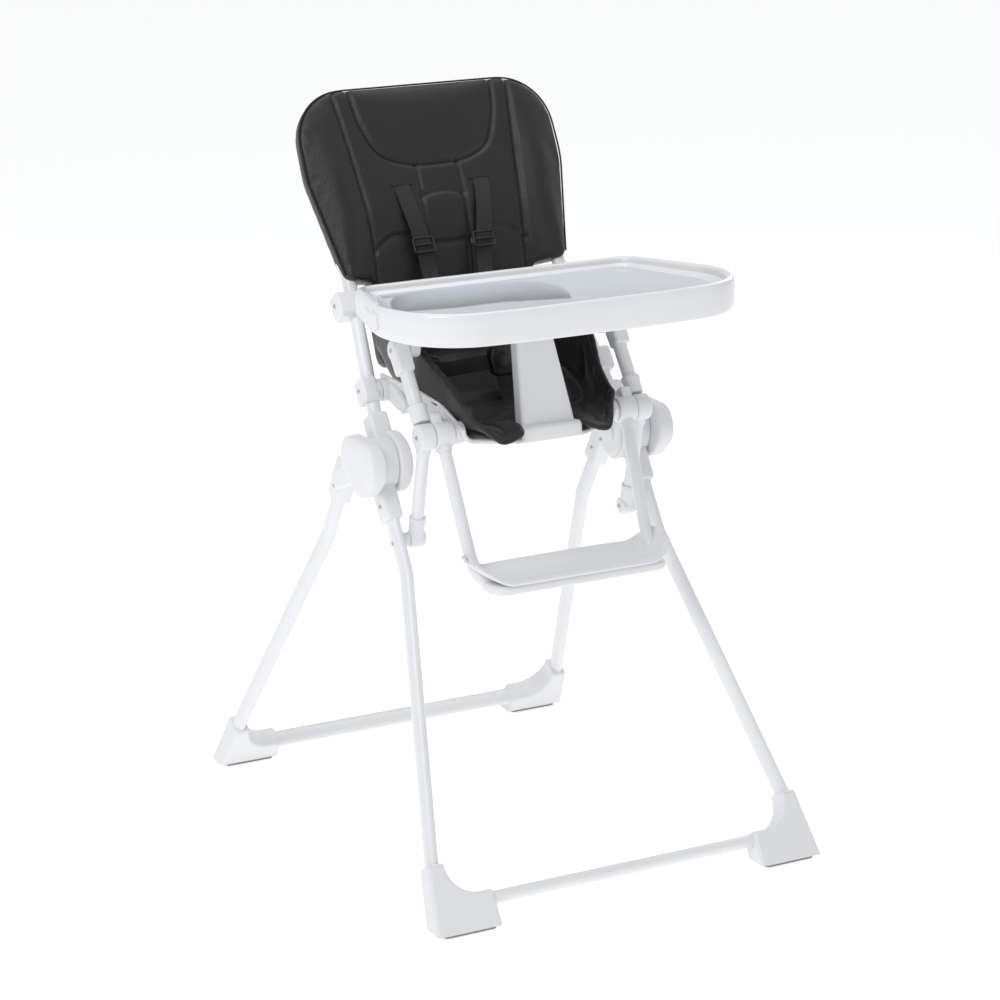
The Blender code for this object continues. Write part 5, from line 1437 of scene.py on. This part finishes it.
class CHAIR_OT_harness(bpy.types.Operator):
    """Shoulder straps, waist straps, crotch strap, sliders and buckle"""

    bl_idname = "chair.harness"
    bl_label = "Harness"

    def execute(self, context):
        width = context.scene.chair_sizes.webbing
        buckle = node_middle("buckle")
        back = bpy.data.objects["back_cushion"]
        tree = BVHTree.FromObject(back, context.evaluated_depsgraph_get())
        for hand, side in SIDES.items():
            way = Vector((0, *(-BACK_FORWARD)))
            route = [(0.063, 0.1275), (0.062, 0.112), (0.056, 0.075), (0.048, 0.036), (0.044, -0.004)]
            points = []
            for x, up in route:
                start = np.array([side * x, *back_point(up, 0.08)])
                hit = tree.ray_cast(Vector(start), way)[0]
                stand_off = 0.002 + 0.020 * np.clip((0.11 - up) / 0.12, 0, 1)
                points.append(np.array(hit) + np.array([0, *BACK_FORWARD]) * stand_off)
            points[0] = points[0] - np.array([0, *BACK_FORWARD]) * 0.002
            points += [np.array([side * 0.036, 0.040, 0.748]), np.array([side * 0.022, -0.012, 0.722]),
                       buckle + np.array([side * 0.010, 0.002, 0.018])]
            path = bowed(points, 90)
            share = np.linspace(0, 1, 90)[:, None]
            across = (1 - share) * np.array([1, 0, 0]) + share * np.array([1.0, 0, side * -0.25])
            strap = strap_piece(f"shoulder_webbing_{hand}", [ribbon(path, across, width)], None,
                                [f"shoulder_strap_{hand}"])
            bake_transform(strap)
            spot = points[3]
            slider = [placed(part, spot + np.array([0, *BACK_FORWARD]) * 0.0022, (1, 0, 0), (0, *BACK_UP),
                             (0, *BACK_FORWARD))
                      for part in frame_loop(width + 0.008, 0.021, 0.0017, 0.0016)]
            piece(f"strap_slider_{hand}", slider, MATERIALS["buckle_black"], "back_frame",
                  [f"strap_adjuster_{hand}"])
            ends = [np.array([side * 0.1290, 0.052, 0.690]), np.array([side * 0.112, 0.030, 0.684]),
                    np.array([side * 0.075, -0.018, 0.676]),
                    np.array([side * 0.040, -0.044, 0.684]),
                    buckle + np.array([side * 0.018, 0.002, -0.002])]
            path = bowed(ends, 60)
            across = np.array([0.0, 0.35, 1.0])
            strap_piece(f"waist_webbing_{hand}", [ribbon(path, across, width * 0.9)], "seat")
            spot = path[26]
            along = unit(path[28] - path[24])
            up = unit(np.array([0, 0.35, 1.0]) - along * (np.array([0, 0.35, 1.0]) @ along))
            slider = [placed(part, spot, up, along, np.cross(up, along))
                      for part in frame_loop(width + 0.006, 0.019, 0.0016, 0.0016)]
            piece(f"waist_slider_{hand}", slider, MATERIALS["buckle_black"], "seat")
        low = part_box("crotch_strap")[0]
        path = bowed([(0, -0.086, low.z - 0.004), (0, -0.072, low.z + 0.006),
                      (0, buckle[1] - 0.002, buckle[2] - 0.016)], 30)
        strap_piece("crotch_webbing", [ribbon(path, (1, 0, 0), width)], "seat", ["crotch_strap"])
        self.clasp(buckle)
        return {"FINISHED"}

    def clasp(self, buckle):
        """A rounded clasp with a round button, drawn face on and laid back a little."""
        low, high = (np.array(corner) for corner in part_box("buckle"))
        half, tall, deep = (high[0] - low[0]) / 2, (high[2] - low[2]) / 2, (high[1] - low[1]) / 2
        outline = rounded_loop([(half * 0.74, -tall, 0.010), (half, tall * 0.2, 0.012),
                                (half * 0.8, tall, 0.008),
                                (-half * 0.8, tall, 0.008), (-half, tall * 0.2, 0.012),
                                (-half * 0.74, -tall, 0.010)], 8)
        body = slab(outline, fillet(-deep, deep * 0.9, 0.0045))
        axes = (buckle, (1, 0, 0), (0, 0, 1), (0, -1, 0))
        angle = np.linspace(0, 2 * math.pi, 40, endpoint=False)
        ring = np.stack([np.cos(angle), np.sin(angle)], axis=1)
        collar = slab(ring * 0.0135, fillet(0.0, deep + 0.0006, 0.0006))
        piece("clasp", [placed(body, *axes), placed(collar, *axes)], MATERIALS["buckle_black"], "seat",
              ["buckle"])
        button = slab(ring * 0.0108, fillet(0.001, deep + 0.0022, 0.0016))
        piece("clasp_button", [placed(button, *axes)], MATERIALS["buckle_black"], "buckle_button",
              ["buckle_button"])


# ---------------------------------------------------------------- stage


class CHAIR_OT_stage(bpy.types.Operator):
    """A pale floor, soft studio lights and the camera"""

    bl_idname = "chair.stage"
    bl_label = "Stage"

    def execute(self, context):
        scene = context.scene
        grid = np.array([[(-60, -60, 0), (60, -60, 0)], [(-60, 60, 0), (60, 60, 0)]], float)
        floor = bpy.data.meshes.new("floor")
        floor.from_pydata(grid.reshape(-1, 3).tolist(), [], [[0, 1, 3, 2]])
        floor = bpy.data.objects.new("floor", floor)
        scene.collection.objects.link(floor)
        material = bpy.data.materials.new("floor_white")
        material.use_nodes = True
        shader = material.node_tree.nodes["Principled BSDF"]
        shader.inputs["Base Color"].default_value = (0.94, 0.94, 0.94, 1)
        shader.inputs["Roughness"].default_value = 0.35
        shader.inputs["Specular IOR Level"].default_value = 0.25
        shader.inputs["Emission Color"].default_value = (1, 1, 1, 1)
        shader.inputs["Emission Strength"].default_value = 0.42
        floor.data.materials.append(material)
        world = scene.world or bpy.data.worlds.new("studio")
        scene.world = world
        world.use_nodes = True
        background = world.node_tree.nodes["Background"]
        background.inputs["Color"].default_value = (0.97, 0.985, 1.0, 1)
        background.inputs["Strength"].default_value = 0.58
        for name, place, size, power in (
            ("key", (-2.6, -1.6, 3.4), 2.0, 49.0),
            ("top", (0.2, 0.6, 3.8), 2.6, 30.0),
            ("rim", (2.8, 2.2, 2.2), 1.8, 18.0),
        ):
            light = bpy.data.lights.new(name, "AREA")
            light.size, light.energy = size, power
            lamp = bpy.data.objects.new(name, light)
            lamp.location = place
            aim = Vector((0, 0, 0.55)) - Vector(place)
            lamp.rotation_euler = aim.to_track_quat("-Z", "Y").to_euler()
            scene.collection.objects.link(lamp)
        camera = bpy.data.cameras.new("camera")
        camera.lens, camera.sensor_width = 105.7, 36.0
        camera.clip_end = 60
        eye = bpy.data.objects.new("camera", camera)
        azimuth, elevation, roll = math.radians(-26.103), math.radians(14.544), math.radians(-1.738)
        back = Vector((math.sin(azimuth) * math.cos(elevation), -math.cos(azimuth) * math.cos(elevation),
                       math.sin(elevation)))
        right = Vector((math.cos(azimuth), math.sin(azimuth), 0))
        up = back.cross(right)
        level = right * math.cos(roll) + up * math.sin(roll)
        upright = up * math.cos(roll) - right * math.sin(roll)
        eye.matrix_world = Matrix((
            (level.x, upright.x, back.x, -1.7974),
            (level.y, upright.y, back.y, -3.6985),
            (level.z, upright.z, back.z, 1.5369),
            (0, 0, 0, 1),
        ))
        scene.collection.objects.link(eye)
        scene.camera = eye
        scene.view_settings.view_transform = "Standard"
        return {"FINISHED"}


# ---------------------------------------------------------------- panel and run

STEPS = [
    CHAIR_OT_finishes, CHAIR_OT_leg_frames, CHAIR_OT_feet, CHAIR_OT_hubs, CHAIR_OT_back_frame,
    CHAIR_OT_seat_shell,
    CHAIR_OT_footrest, CHAIR_OT_arms, CHAIR_OT_tray, CHAIR_OT_back_pad, CHAIR_OT_seat_pad, CHAIR_OT_harness,
    CHAIR_OT_stage,
]


class CHAIR_PT_panel(bpy.types.Panel):
    """The chair's sizes, colours and building steps"""

    bl_idname = "CHAIR_PT_panel"
    bl_label = "High chair"
    bl_space_type = "VIEW_3D"
    bl_region_type = "UI"
    bl_category = "High chair"

    def draw(self, context):
        for group in (context.scene.chair_sizes, context.scene.chair_colours):
            for name in group.__annotations__:
                self.layout.prop(group, name)
        for step in STEPS:
            self.layout.operator(step.bl_idname)


CLASSES = [ChairSizes, ChairColours, *STEPS, CHAIR_PT_panel]


def register():
    for cls in CLASSES:
        bpy.utils.register_class(cls)
    bpy.types.Scene.chair_sizes = PointerProperty(type=ChairSizes)
    bpy.types.Scene.chair_colours = PointerProperty(type=ChairColours)


def unregister():
    del bpy.types.Scene.chair_sizes, bpy.types.Scene.chair_colours
    for cls in reversed(CLASSES):
        bpy.utils.unregister_class(cls)


def main():
    register()
    for name in ("finishes", "leg_frames", "feet", "hubs", "back_frame", "seat_shell", "footrest", "arms",
                 "tray",
                 "back_pad", "seat_pad", "harness", "stage"):
        getattr(bpy.ops.chair, name)()


if __name__ == "__main__":
    main()
